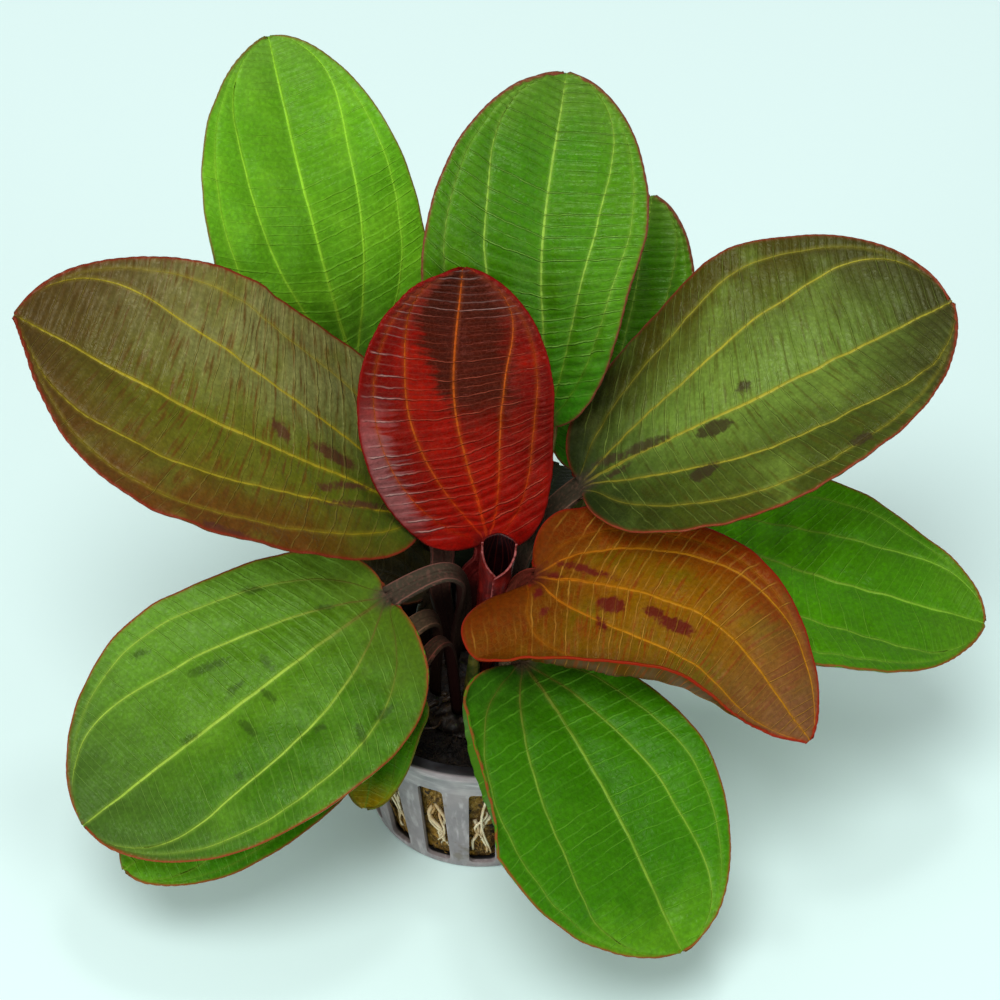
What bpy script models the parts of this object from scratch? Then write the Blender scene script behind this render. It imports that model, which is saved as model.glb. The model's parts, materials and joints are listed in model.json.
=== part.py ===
"""Potted amazon sword plant: a net pot, the growing medium in it, the crown and its leaves.

Metres, +Z up. The origin is the middle of the pot's underside, and -Y is the front of the plant.
The sizes below are in millimetres, and MM turns them into metres.
"""

import math
from dataclasses import dataclass

import bmesh
import bpy
from mathutils import Matrix, Vector

MM = 0.001
GAP = 0.3  # clearance between pieces that touch

# Net pot
POT_HEIGHT = 30.0
POT_RIM_RADIUS = 26.0
POT_TOP_RADIUS = 24.6  # the wall's outside, just under the lip
POT_BASE_RADIUS = 19.8
POT_WALL = 1.2
POT_FLOOR = 1.4
POT_LIP_DEPTH = 1.5
POT_LIP_WIDTH = 2.8
POT_BAND_DEPTH = 7.0  # the solid band under the rim
POT_RIBS = 16
POT_RIB_WIDTH = 4.2
POT_RIB_TURN = math.radians(-100.5)  # where the first rib stands
POT_FLOOR_DISC = 7.0  # the solid middle of the base
POT_FLOOR_EDGE = 3.0  # the solid edge of the base
POT_FLOOR_SLOTS = 8
POT_FLOOR_SLOT_WIDTH = 3.2
POT_STEPS = 48
CUT_DEPTH = 12.0  # of a wall slot's cutter, right through the tapering wall

# Growing medium and crown
MEDIUM_TOP = 24.5
MEDIUM_BULGE = 1.0
MEDIUM_BULGE_RING = (0.5, 0.3)  # a ring of its top: share of the radius, share of the bulge it is lower
CROWN_RADIUS = 12.0
CROWN_TOP = 30.0
CROWN_RINGS = 6
ROUND_STEPS = 24

# Leaves: sizes and forms that they share
STALK_WIDTH = (3.2, 4.6)  # at the foot and at the blade
STALK_THICKNESS = 1.6
STALK_FOLD = 28.0  # degrees that each side of the channelled stalk rises
STALK_ROWS = 5
CHANNEL_RISE = 20.0  # how far above the plant's middle a stalk's channel looks
BLADE_THICKNESS = 0.7
BLADE_ROWS = 12
TIP_WIDTH = 1.2
JOIN = 0.12  # share of the blade in which the stalk's section opens into the blade's
MARGIN_WAVES = 2.0
LEFT_WAVE_LEAD = 1.7  # radians that the left margin's waves are ahead
COLUMNS = (-1.0, -0.78, -0.42, 0.0, 0.42, 0.78, 1.0)
CURLED_COLUMNS = (-1.0, -0.86, -0.7, -0.35, 0.0, 0.35, 0.7, 0.86, 1.0)
SECTION_STEPS = 8

# Young leaf, still rolled up
FURLED_BASE = Vector((0.3, -0.4, CROWN_TOP + 2.0 * GAP))
FURLED_TIP = Vector((3.1, -0.6, 60.5))
FURLED_RADIUS = (1.8, 2.9)  # at the base and at the tip
FURLED_WALL = 0.6
FURLED_TURN = math.radians(168.0)  # how far round each half is rolled
FURLED_OPENS = 0.7  # share of the length where the halves begin to part
FURLED_TIP_ROLL = 0.42  # share of the turn that is left at the tip
FURLED_ROWS = 8
FURLED_COLUMNS = 12

# Colours
GREY_PLASTIC = (0.33, 0.35, 0.38)
BROWN_WOOL = (0.06, 0.035, 0.02)
PALE_ROOT = (0.45, 0.33, 0.17)
GREEN = (0.10, 0.30, 0.02)
BRONZE = (0.16, 0.15, 0.03)
ORANGE = (0.33, 0.12, 0.02)
RED = (0.32, 0.02, 0.01)
DARK_GREEN = (0.02, 0.05, 0.02)


@dataclass
class Leaf:
    """One grown leaf. Left and right are those of someone looking out along it from the crown."""

    name: str
    colour: tuple
    foot: tuple  # where the stalk stands on the crown
    spine: tuple  # the stalk's bend, the junction of stalk and blade, the blade's middle, its tip
    width: tuple  # of the left and the right half of the blade
    face: tuple = (0.0, 0.0, 1.0)  # where the blade's upper side looks
    widest: tuple = (0.45, 0.45)  # share of the blade's length, of each half
    base: tuple = (2.2, 2.2)  # how blunt each half is at the stalk
    tip: tuple = (0.55, 0.55)  # how pointed each half is, from 0.5, round
    fold: tuple = (6.0, 6.0)  # degrees that each half rises at the midrib
    cup: tuple = (10.0, 10.0)  # degrees more at the margin
    curl: tuple = (0.0, 0.0)  # degrees that the margin turns up
    curl_from: float = 0.8
    curl_span: tuple = (0.1, 0.95)
    lobe: tuple = (3.0, 3.0)  # how far the base reaches back past the junction
    stalk: float = 1.0  # share of the usual stalk's width
    wave: float = 0.6


LEAVES = (
    Leaf(
        "leaf_front_left", GREEN, (-5, -1.8), width=(24.5, 23.0), face=(0.1, -0.25, 1.0),
        spine=((-3.6, -1.2, 53), (-15.5, -5, 52), (-39, -21, 44), (-66.5, -35, 28)),
        widest=(0.45, 0.6), base=(2.2, 1.7), fold=(0.0, 6.0), cup=(0.0, 10.0),
    ),
    Leaf(
        "leaf_front_right", GREEN, (3, -9.5), width=(19.0, 25.0),
        spine=((4.5, -10.5, 38), (7.2, -12, 43), (21, -34, 35), (33.5, -54, 18)),
        widest=(0.52, 0.5), base=(1.5, 1.9), tip=(0.55, 0.62),
        curl=(0.0, 110.0), curl_from=0.84, curl_span=(0.03, 0.55),
    ),
    Leaf(
        "leaf_right_orange", ORANGE, (4.8, -3.2), width=(16.0, 19.4), face=(0.05, -0.25, 1.0),
        spine=((6.6, -4.4, 43), (9.4, -3, 54.5), (37.6, -13.8, 56.2), (55, -28.5, 42)),
        widest=(0.25, 0.26), base=(2.4, 2.4), tip=(0.68, 0.95), fold=(3.0, -2.0),
        cup=(3.0, -12.0), curl=(0.0, 140.0), curl_from=0.78, lobe=(2.0, 18.5),
    ),
    Leaf(
        "leaf_right_bronze", BRONZE, (5, 1.8), width=(26.0, 22.5), face=(0.0, -0.3, 1.0),
        spine=((7, 7, 49), (17.5, 11, 63), (49, 14, 82), (80, 29, 89)),
        widest=(0.55, 0.42), base=(1.4, 1.5), tip=(0.5, 0.65), lobe=(1.5, 1.5),
    ),
    Leaf(
        "leaf_left_bronze", BRONZE, (-5.2, 2.2), width=(21.5, 25.0), face=(0.0, -0.36, 1.0),
        spine=((-7, 3.8, 44), (-10.2, 11, 55.5), (-45, 6.5, 82.5), (-77, 16, 97)),
        widest=(0.5, 0.5), base=(1.5, 2.2), tip=(0.98, 0.5), lobe=(0.5, 3.0),
    ),
    Leaf(
        "leaf_centre_red", RED, (-2.4, 5.0), width=(16.5, 17.0), face=(0.0, -1.0, 0.3),
        spine=((-2.2, 7.2, 44), (1.2, 6.8, 54.4), (-4.2, 11, 82), (-2.8, 20, 104)),
        widest=(0.45, 0.55), base=(2.2, 1.7), lobe=(1.0, 3.0),
    ),
    Leaf(
        "leaf_back_middle", GREEN, (2.2, 5.4), width=(20.3, 17.4), face=(0.0, -1.0, 0.6),
        spine=((6, 13.5, 48), (11.1, 18.9, 70.6), (10.4, 28.8, 100.2), (14.5, 49, 122.3)),
        widest=(0.45, 0.58), base=(2.2, 1.15), lobe=(3.0, 0.5),
    ),
    Leaf(
        "leaf_back_left", GREEN, (-5.6, 8.2), width=(18.9, 18.4), face=(0.3, -1.0, 0.6),
        spine=((-10, 20, 50), (-21.5, 30.2, 72.5), (-29.3, 41.2, 100.5), (-36, 60, 121.8)),
        widest=(0.42, 0.42), tip=(0.62, 0.55),
    ),
    Leaf(
        "leaf_right_green", GREEN, (9.8, -1.5), width=(18.3, 22.0), face=(0.0, -0.15, 1.0),
        spine=((18, 7, 41), (28.5, 20.6, 45), (58.5, 5.2, 47), (87, 0, 41)),
        tip=(0.6, 0.6),
    ),
    Leaf(
        "leaf_low_left", GREEN, (-8.0, -4.4), width=(14.0, 16.0), face=(0.1, -0.2, 1.0),
        spine=((-8.5, -4, 46), (-22, -11, 37), (-38, -25, 31), (-60, -38, 20)),
        base=(1.6, 1.6), fold=(-4.0, -4.0), cup=(-10.0, -10.0),
    ),
    Leaf(
        "leaf_small_front", GREEN, (-4, -9.2), width=(7.0, 7.0), stalk=0.7, tip=(0.48, 0.48), lobe=(0.0, 0.0),
        spine=((-6, -8.5, 45), (-12, -14, 41), (-16.2, -22, 38), (-19.3, -31, 28)),
    ),
    Leaf(
        "leaf_back_right", GREEN, (9.3, 3.8), width=(12.0, 12.0), stalk=0.7,
        spine=((13.2, 13, 44), (19, 22.5, 56), (25.5, 38, 75), (30, 53, 93)),
    ),
    Leaf(
        "leaf_old_left", DARK_GREEN, (-9.4, 3.6), width=(6.5, 7.6), stalk=0.7, lobe=(0.0, 3.0),
        spine=((-10, 5.5, 36), (-10, 7, 41), (-18.5, 9, 45), (-27, 11, 42)), base=(2.2, 3.0),
    ),
    Leaf(
        "leaf_old_back", DARK_GREEN, (1, 9.8), width=(14.0, 8.0), stalk=0.7, lobe=(7.0, 0.0),
        spine=((3.5, 13.5, 35), (6.5, 18, 40), (11, 27, 44), (14.5, 37, 44)), base=(2.6, 2.2),
    ),
)


def blend(a, b, share):
    return a + (b - a) * share


def limit(value, low=0.0, high=1.0):
    return min(max(value, low), high)


def material(name, colour, roughness):
    """A plain Principled material."""
    made = bpy.data.materials.new(name)
    made.use_nodes = True
    shader = made.node_tree.nodes["Principled BSDF"]
    shader.inputs["Base Color"].default_value = (*colour, 1.0)
    shader.inputs["Roughness"].default_value = roughness
    shader.inputs["Metallic"].default_value = 0.0
    return made


def collection(name, parent=None):
    made = bpy.data.collections.new(name)
    (parent or bpy.context.scene.collection).children.link(made)
    return made


def add_object(name, bm, group, colour, roughness):
    """An object from a bmesh that is in millimetres."""
    bm.transform(Matrix.Scale(MM, 4))
    mesh = bpy.data.meshes.new(name)
    bm.to_mesh(mesh)
    bm.free()
    mesh.shade_smooth()
    mesh.materials.append(material(name + "_finish", colour, roughness))
    made = bpy.data.objects.new(name, mesh)
    group.objects.link(made)
    return made


def add_turned(name, profile, steps, group, colour, roughness):
    """A profile of (radius, height) points, from the axis round to the axis, turned about Z."""
    bm = bmesh.new()
    points = [bm.verts.new((radius, 0.0, height)) for radius, height in profile]
    for a, b in zip(points, points[1:]):
        bm.edges.new((a, b))
    made = add_object(name, bm, group, colour, roughness)
    screw = made.modifiers.new("turn", "SCREW")
    screw.axis = "Z"
    screw.steps = screw.render_steps = steps
    screw.use_merge_vertices = True
    screw.merge_threshold = 0.00001
    return made


def add_cutter(name, size, out, up, turn, group):
    """A box for a Boolean: its middle is out from the axis and up from the ground, then turned about Z."""
    bm = bmesh.new()
    bmesh.ops.create_cube(bm, size=1.0)
    bmesh.ops.scale(bm, vec=size, verts=bm.verts)
    bmesh.ops.translate(bm, vec=(out, 0.0, up), verts=bm.verts)
    made = add_object(name, bm, group, GREY_PLASTIC, 0.5)
    made.rotation_euler = (0.0, 0.0, turn)
    made.hide_render = True
    made.display_type = "WIRE"


def wall_radius(height):
    """The outside of the pot's tapering wall."""
    return blend(POT_BASE_RADIUS, POT_TOP_RADIUS, height / (POT_HEIGHT - POT_LIP_DEPTH))


def net_pot(parts, cutters):
    """The pot is turned, and then its wall and its floor are slotted."""
    under_lip = POT_HEIGHT - POT_LIP_DEPTH
    mouth = POT_RIM_RADIUS - POT_LIP_WIDTH
    profile = (
        (0.0, POT_FLOOR),
        (wall_radius(POT_FLOOR) - POT_WALL, POT_FLOOR),
        (mouth, under_lip),
        (mouth, POT_HEIGHT),
        (POT_RIM_RADIUS - GAP, POT_HEIGHT),
        (POT_RIM_RADIUS, POT_HEIGHT - GAP),
        (POT_RIM_RADIUS, under_lip),
        (POT_TOP_RADIUS, under_lip),
        (POT_BASE_RADIUS, 0.0),
        (0.0, 0.0),
    )
    pot = add_turned("net_pot", profile, POT_STEPS, parts, GREY_PLASTIC, 0.45)
    slots = collection("pot_slots", cutters)
    top = POT_HEIGHT - POT_BAND_DEPTH
    low = POT_FLOOR + GAP
    radius = wall_radius(POT_HEIGHT / 2.0)
    width = 2.0 * math.pi * radius / POT_RIBS - POT_RIB_WIDTH
    for i in range(POT_RIBS):
        turn = POT_RIB_TURN + (i + 0.5) * 2.0 * math.pi / POT_RIBS
        add_cutter(f"wall_slot_{i}", (CUT_DEPTH, width, top - low), radius, (top + low) / 2.0, turn, slots)
    end = POT_BASE_RADIUS - POT_FLOOR_EDGE
    size = (end - POT_FLOOR_DISC, POT_FLOOR_SLOT_WIDTH, 3.0 * POT_FLOOR)
    for i in range(POT_FLOOR_SLOTS):
        turn = POT_RIB_TURN + i * 2.0 * math.pi / POT_FLOOR_SLOTS
        add_cutter(f"floor_slot_{i}", size, (end + POT_FLOOR_DISC) / 2.0, POT_FLOOR / 2.0, turn, slots)
    cut = pot.modifiers.new("slots", "BOOLEAN")
    cut.operation = "DIFFERENCE"
    cut.operand_type = "COLLECTION"
    cut.collection = slots


def growing_medium(parts):
    """The plug that fills the pot, clear of its wall and floor."""
    low = POT_FLOOR + GAP
    low_radius = wall_radius(low) - POT_WALL - GAP
    shoulder = MEDIUM_TOP - MEDIUM_BULGE
    mouth = POT_RIM_RADIUS - POT_LIP_WIDTH - GAP
    radius = blend(low_radius, mouth, (shoulder - low) / (POT_HEIGHT - POT_LIP_DEPTH - low))
    ring, lower = MEDIUM_BULGE_RING
    profile = (
        (0.0, MEDIUM_TOP),
        (radius * ring, MEDIUM_TOP - lower * MEDIUM_BULGE),
        (radius - MEDIUM_BULGE, shoulder),
        (radius, shoulder - MEDIUM_BULGE),
        (low_radius, low),
        (0.0, low),
    )
    add_turned("growing_medium", profile, ROUND_STEPS, parts, BROWN_WOOL, 0.95)


def crown_height(radius):
    """The top of the domed crown at this distance from the axis."""
    low = MEDIUM_TOP + GAP
    return blend(low, CROWN_TOP, math.sqrt(max(1.0 - (radius / CROWN_RADIUS) ** 2, 0.0)))


def crown(parts):
    """The short stem that the leaves stand on."""
    radii = [CROWN_RADIUS * math.sin(math.pi / 2.0 * i / CROWN_RINGS) for i in range(CROWN_RINGS + 1)]
    profile = [(radius, crown_height(radius)) for radius in radii]
    profile.append((0.0, MEDIUM_TOP + GAP))
    add_turned("crown", profile, ROUND_STEPS, parts, PALE_ROOT, 0.8)


def stalk_foot(x, y):
    """Where a stalk stands on the crown, just clear of it at the stalk's inner edge."""
    inner = max(math.hypot(x, y) - STALK_THICKNESS, 0.0)
    return x, y, crown_height(inner) + GAP


def along_spine(leaf, place):
    """A smooth curve through the leaf's foot, place 0, and its spine, to the tip, place 4."""
    knots = [Vector(stalk_foot(*leaf.foot))] + [Vector(point) for point in leaf.spine]
    last = len(knots) - 1
    knots = [2.0 * knots[0] - knots[1]] + knots + [2.0 * knots[-1] - knots[-2]]
    start = limit(int(place), 0, last - 1)
    x = place - start
    a, b, c, d = knots[start:start + 4]
    squared = 2.0 * a - 5.0 * b + 4.0 * c - d
    cubed = 3.0 * b - a - 3.0 * c + d
    return b + 0.5 * ((c - a) * x + squared * x**2 + cubed * x**3)


def half_outline(t, widest, base, tip):
    """Half-width of a blade as a share of its widest, from the junction, t 0, to the tip, t 1."""
    if t < widest:
        return math.sqrt(max(1.0 - ((widest - t) / widest) ** base, 0.0))
    return max(1.0 - ((t - widest) / (1.0 - widest)) ** 2, 0.0) ** tip


def leaf_axes(leaf, place):
    """Unit vectors along the leaf, to its right and out of its upper side."""
    step = 0.02
    behind = along_spine(leaf, max(place - step, 0.0))
    ahead = along_spine(leaf, min(place + step, 4.0))
    forward = (ahead - behind).normalized()
    bend = leaf.spine[0]
    inward = Vector((-bend[0], -bend[1], CHANNEL_RISE)).normalized()
    look = inward.lerp(Vector(leaf.face).normalized(), limit(place / 2.0))
    up = (look - look.dot(forward) * forward).normalized()
    return forward, forward.cross(up), up


def leaf_point(leaf, place, across):
    """A point of the leaf: place 0 to 2 is the stalk and 2 to 4 the blade, across -1 to 1 left to right."""
    forward, right, up = leaf_axes(leaf, place)
    side = 1 if across > 0 else 0
    t = max(place - 2.0, 0.0) / 2.0
    opened = limit(t / JOIN)
    shape = half_outline(t, leaf.widest[side], leaf.base[side], leaf.tip[side]) if t else 0.0
    stalk_width = leaf.stalk * blend(*STALK_WIDTH, limit(place / 2.0))
    half_width = math.hypot(leaf.width[side] * shape, blend(stalk_width, TIP_WIDTH, t) / 2.0)
    fold = blend(STALK_FOLD, leaf.fold[side], opened)
    cup = leaf.cup[side] * opened
    span = limit((t - leaf.curl_span[0]) / (leaf.curl_span[1] - leaf.curl_span[0]))
    curl = leaf.curl[side] * max(math.sin(math.pi * span), 0.0) ** 0.7
    reach = abs(across)
    step = reach * half_width / SECTION_STEPS
    sideways = rise = 0.0
    for i in range(SECTION_STEPS):
        s = reach * (i + 0.5) / SECTION_STEPS
        turned_up = limit(2.0 * (s - leaf.curl_from) / (1.0 - leaf.curl_from))
        angle = math.radians(fold + cup * s + curl * turned_up)
        sideways += math.cos(angle) * step
        rise += math.sin(angle) * step
    lead = 0.0 if side else LEFT_WAVE_LEAD
    rise += opened * leaf.wave * reach**2 * math.sin(2.0 * math.pi * MARGIN_WAVES * t + lead)
    back = leaf.lobe[side] * reach**2 * (1.0 - t) ** 3 * shape**0.7
    sideways = math.copysign(sideways, across)
    return along_spine(leaf, place) + sideways * right + rise * up - back * forward


def leaf_places():
    """Places of the rows: even on the stalk, closer at both ends of the blade."""
    stalk = [2.0 * i / STALK_ROWS for i in range(STALK_ROWS)]
    blade = [3.0 - math.cos(math.pi * i / BLADE_ROWS) for i in range(BLADE_ROWS + 1)]
    return stalk + blade


def add_leaf(leaf, parts):
    """Stalk and blade as one strip, thickened about its middle."""
    places = leaf_places()
    columns = CURLED_COLUMNS if any(leaf.curl) else COLUMNS
    bm = bmesh.new()
    bmesh.ops.create_grid(bm, x_segments=len(columns) - 1, y_segments=len(places) - 1, size=0.5)
    thickness = bm.verts.layers.deform.verify()
    for vert in bm.verts:
        column = round((vert.co.x + 0.5) * (len(columns) - 1))
        row = round((vert.co.y + 0.5) * (len(places) - 1))
        vert.co = leaf_point(leaf, places[row], columns[column])
        vert[thickness][0] = 1.0 if places[row] < 2.0 else 0.0
    made = add_object(leaf.name, bm, parts, leaf.colour, 0.4)
    made.vertex_groups.new(name="stalk")
    wall = made.modifiers.new("thickness", "SOLIDIFY")
    wall.thickness = STALK_THICKNESS * MM
    wall.offset = 0.0
    wall.vertex_group = "stalk"
    wall.thickness_vertex_group = BLADE_THICKNESS / STALK_THICKNESS


def furled_leaf(parts):
    """The youngest leaf: its two halves roll towards the front, and part in a V near the tip."""
    bm = bmesh.new()
    bmesh.ops.create_grid(bm, x_segments=FURLED_COLUMNS, y_segments=FURLED_ROWS, size=0.5)
    axis = (FURLED_TIP - FURLED_BASE).normalized()
    right = Vector((0.0, 1.0, 0.0)).cross(axis).normalized()
    back = axis.cross(right)
    for vert in bm.verts:
        across = 2.0 * vert.co.x
        t = vert.co.y + 0.5
        rolled = limit(math.sqrt(max(1.0 - t, 0.0) / (1.0 - FURLED_OPENS)), FURLED_TIP_ROLL)
        turn = across * rolled * FURLED_TURN
        out = blend(*FURLED_RADIUS, t) * (math.sin(turn) * right + math.cos(turn) * back)
        vert.co = FURLED_BASE.lerp(FURLED_TIP, t) + out
    made = add_object("leaf_young_furled", bm, parts, RED, 0.35)
    wall = made.modifiers.new("thickness", "SOLIDIFY")
    wall.thickness = FURLED_WALL * MM
    wall.offset = 0.0


def main():
    for old in list(bpy.data.objects):
        bpy.data.objects.remove(old)
    parts = collection("potted_amazon_sword_plant")
    cutters = collection("cutters")
    net_pot(parts, cutters)
    growing_medium(parts)
    crown(parts)
    for leaf in LEAVES:
        add_leaf(leaf, parts)
    furled_leaf(parts)


main()
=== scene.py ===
"""Potted amazon sword plant: its finished look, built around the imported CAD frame.

Sizes in the tables are in millimetres and angles in degrees; MM turns millimetres into metres. Left and
right of a leaf are those of someone who looks out along it from the crown. -Y is the front of the plant.
"""

import json
import math
from dataclasses import dataclass
from types import SimpleNamespace

import bmesh
import bpy
import numpy as np
from mathutils import Matrix, Vector

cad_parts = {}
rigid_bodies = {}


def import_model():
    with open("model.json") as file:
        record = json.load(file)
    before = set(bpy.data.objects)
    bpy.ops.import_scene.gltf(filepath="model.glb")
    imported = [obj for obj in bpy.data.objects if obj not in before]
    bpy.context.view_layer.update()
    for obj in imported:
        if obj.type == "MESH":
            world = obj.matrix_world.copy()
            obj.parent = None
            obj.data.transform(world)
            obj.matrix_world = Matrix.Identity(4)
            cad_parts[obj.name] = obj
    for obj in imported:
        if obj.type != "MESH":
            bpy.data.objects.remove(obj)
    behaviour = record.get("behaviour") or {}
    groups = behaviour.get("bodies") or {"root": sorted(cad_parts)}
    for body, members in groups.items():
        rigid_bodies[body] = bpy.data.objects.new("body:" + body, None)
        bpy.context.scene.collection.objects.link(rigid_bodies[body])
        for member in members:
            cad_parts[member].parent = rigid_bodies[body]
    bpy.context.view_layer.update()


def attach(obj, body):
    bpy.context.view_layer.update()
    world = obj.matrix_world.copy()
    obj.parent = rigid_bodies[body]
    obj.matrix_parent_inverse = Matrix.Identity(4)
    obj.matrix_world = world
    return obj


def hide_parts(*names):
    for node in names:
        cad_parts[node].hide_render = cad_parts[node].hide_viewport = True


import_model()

bl_info = {
    "name": "Potted amazon sword plant",
    "version": (1, 0, 0),
    "blender": (4, 5, 0),
    "location": "3D View > Sidebar > Sword plant",
    "description": "Builds the leaves, crown, roots, growing medium and net pot of an amazon sword plant",
    "category": "Add Mesh",
}

MM = 0.001
TURN = 2.0 * math.pi
GAP = 0.3  # between two solids that rest on each other

# Net pot, as in the CAD part
POT_HEIGHT = 30.0
POT_RIM_RADIUS = 26.0
POT_TOP_RADIUS = 24.6
POT_BASE_RADIUS = 19.8
POT_WALL = 1.2
POT_FLOOR = 1.4
POT_LIP_DEPTH = 1.5
POT_LIP_WIDTH = 2.8
POT_BAND_DEPTH = 7.0
POT_RIBS = 16
POT_RIB_WIDTH = 4.2
POT_RIB_TURN = math.radians(-100.5)
POT_BAY_TURN = TURN / POT_RIBS
POT_FLOOR_DISC = 7.0
POT_FLOOR_EDGE = 3.0
POT_FLOOR_SLOTS = 8
POT_FLOOR_SLOT_WIDTH = 3.2

# Growing medium and crown: the sizes of the CAD part, then the wool's strands
MEDIUM_TOP = 24.5
CROWN_RADIUS = 12.0
CROWN_TOP = 30.0
STRAND_POINTS = 7
STRAND_REACH = 22.0

# Forms that the leaves share, as in the CAD part
STALK_WIDTH = (3.2, 4.6)  # at the foot and at the blade
STALK_THICKNESS = 1.6
STALK_FOLD = 28.0
CHANNEL_RISE = 20.0
TIP_WIDTH = 1.2
JOIN = 0.12  # share of the blade over which the stalk opens out
MARGIN_WAVES = 2.0
LEFT_WAVE_LEAD = 1.7

# Relief of the leaves, on top of the CAD part's form
VEIN_HALVES = (0.42, 0.24, 0.17)  # half-widths of the midrib, the inner and the outer laterals
VEIN_TAPER = 0.62
STALK_ROWS = 26
SECTION_STEPS = 96
FULL_PUFF_LANE = 9.0  # a lane of this width swells by the whole puff
LUMP_HEIGHT, LUMP_SIZE = 0.16, 6.0
FLUTTER_HEIGHT, FLUTTER_SIZE = 0.05, 7.0
WOBBLE_SHARE, WOBBLE_SIZE = 0.003, 11.0
RIB_HEIGHT = 0.7  # of the midrib, over the blade's own thickness

# Furled leaf: on the foot of the CAD part's, but rolled further, so that one edge overlaps the other
FURLED_BASE = (0.3, -0.4, CROWN_TOP + 2.0 * GAP)
FURLED_TIP = (3.1, -0.6, 60.3)
FURLED_RADIUS = (1.8, 2.9)  # at the base and at the tip
FURLED_TURN = math.radians(188.0)
FURLED_OPENS = 0.82
FURLED_TIP_ROLL = 0.42
FURLED_OVERLAP = 0.08


@dataclass
class Leaf:
    """One grown leaf: its form, as in the CAD part but for the wider old leaves, then its marks.

    A pair of numbers is for the left and the right half.
    """

    name: str
    look: str
    foot: tuple  # on the crown
    spine: tuple  # the stalk's bend, the junction, the middle and the tip
    width: tuple
    face: tuple = (0.0, 0.0, 1.0)  # where the upper side looks
    widest: tuple = (0.45, 0.45)
    base: tuple = (2.2, 2.2)
    tip: tuple = (0.55, 0.55)
    fold: tuple = (6.0, 6.0)
    cup: tuple = (10.0, 10.0)
    spread: tuple = (1.0, 1.0)  # of the inner laterals
    curl: tuple = (0.0, 0.0)  # of the margin
    curl_from: float = 0.8
    curl_span: tuple = (0.1, 0.95)
    lobe: tuple = (3.0, 3.0)  # how far the blade reaches back past the junction
    stalk: float = 1.0  # width, as a share of STALK_WIDTH
    wave: float = 0.6
    slant: tuple = (0.35, 0.35)  # how fast the cross-veins lead towards the tip on each half
    blotches: tuple = ()  # (across, along, half-length, half-width, turn)


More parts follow.
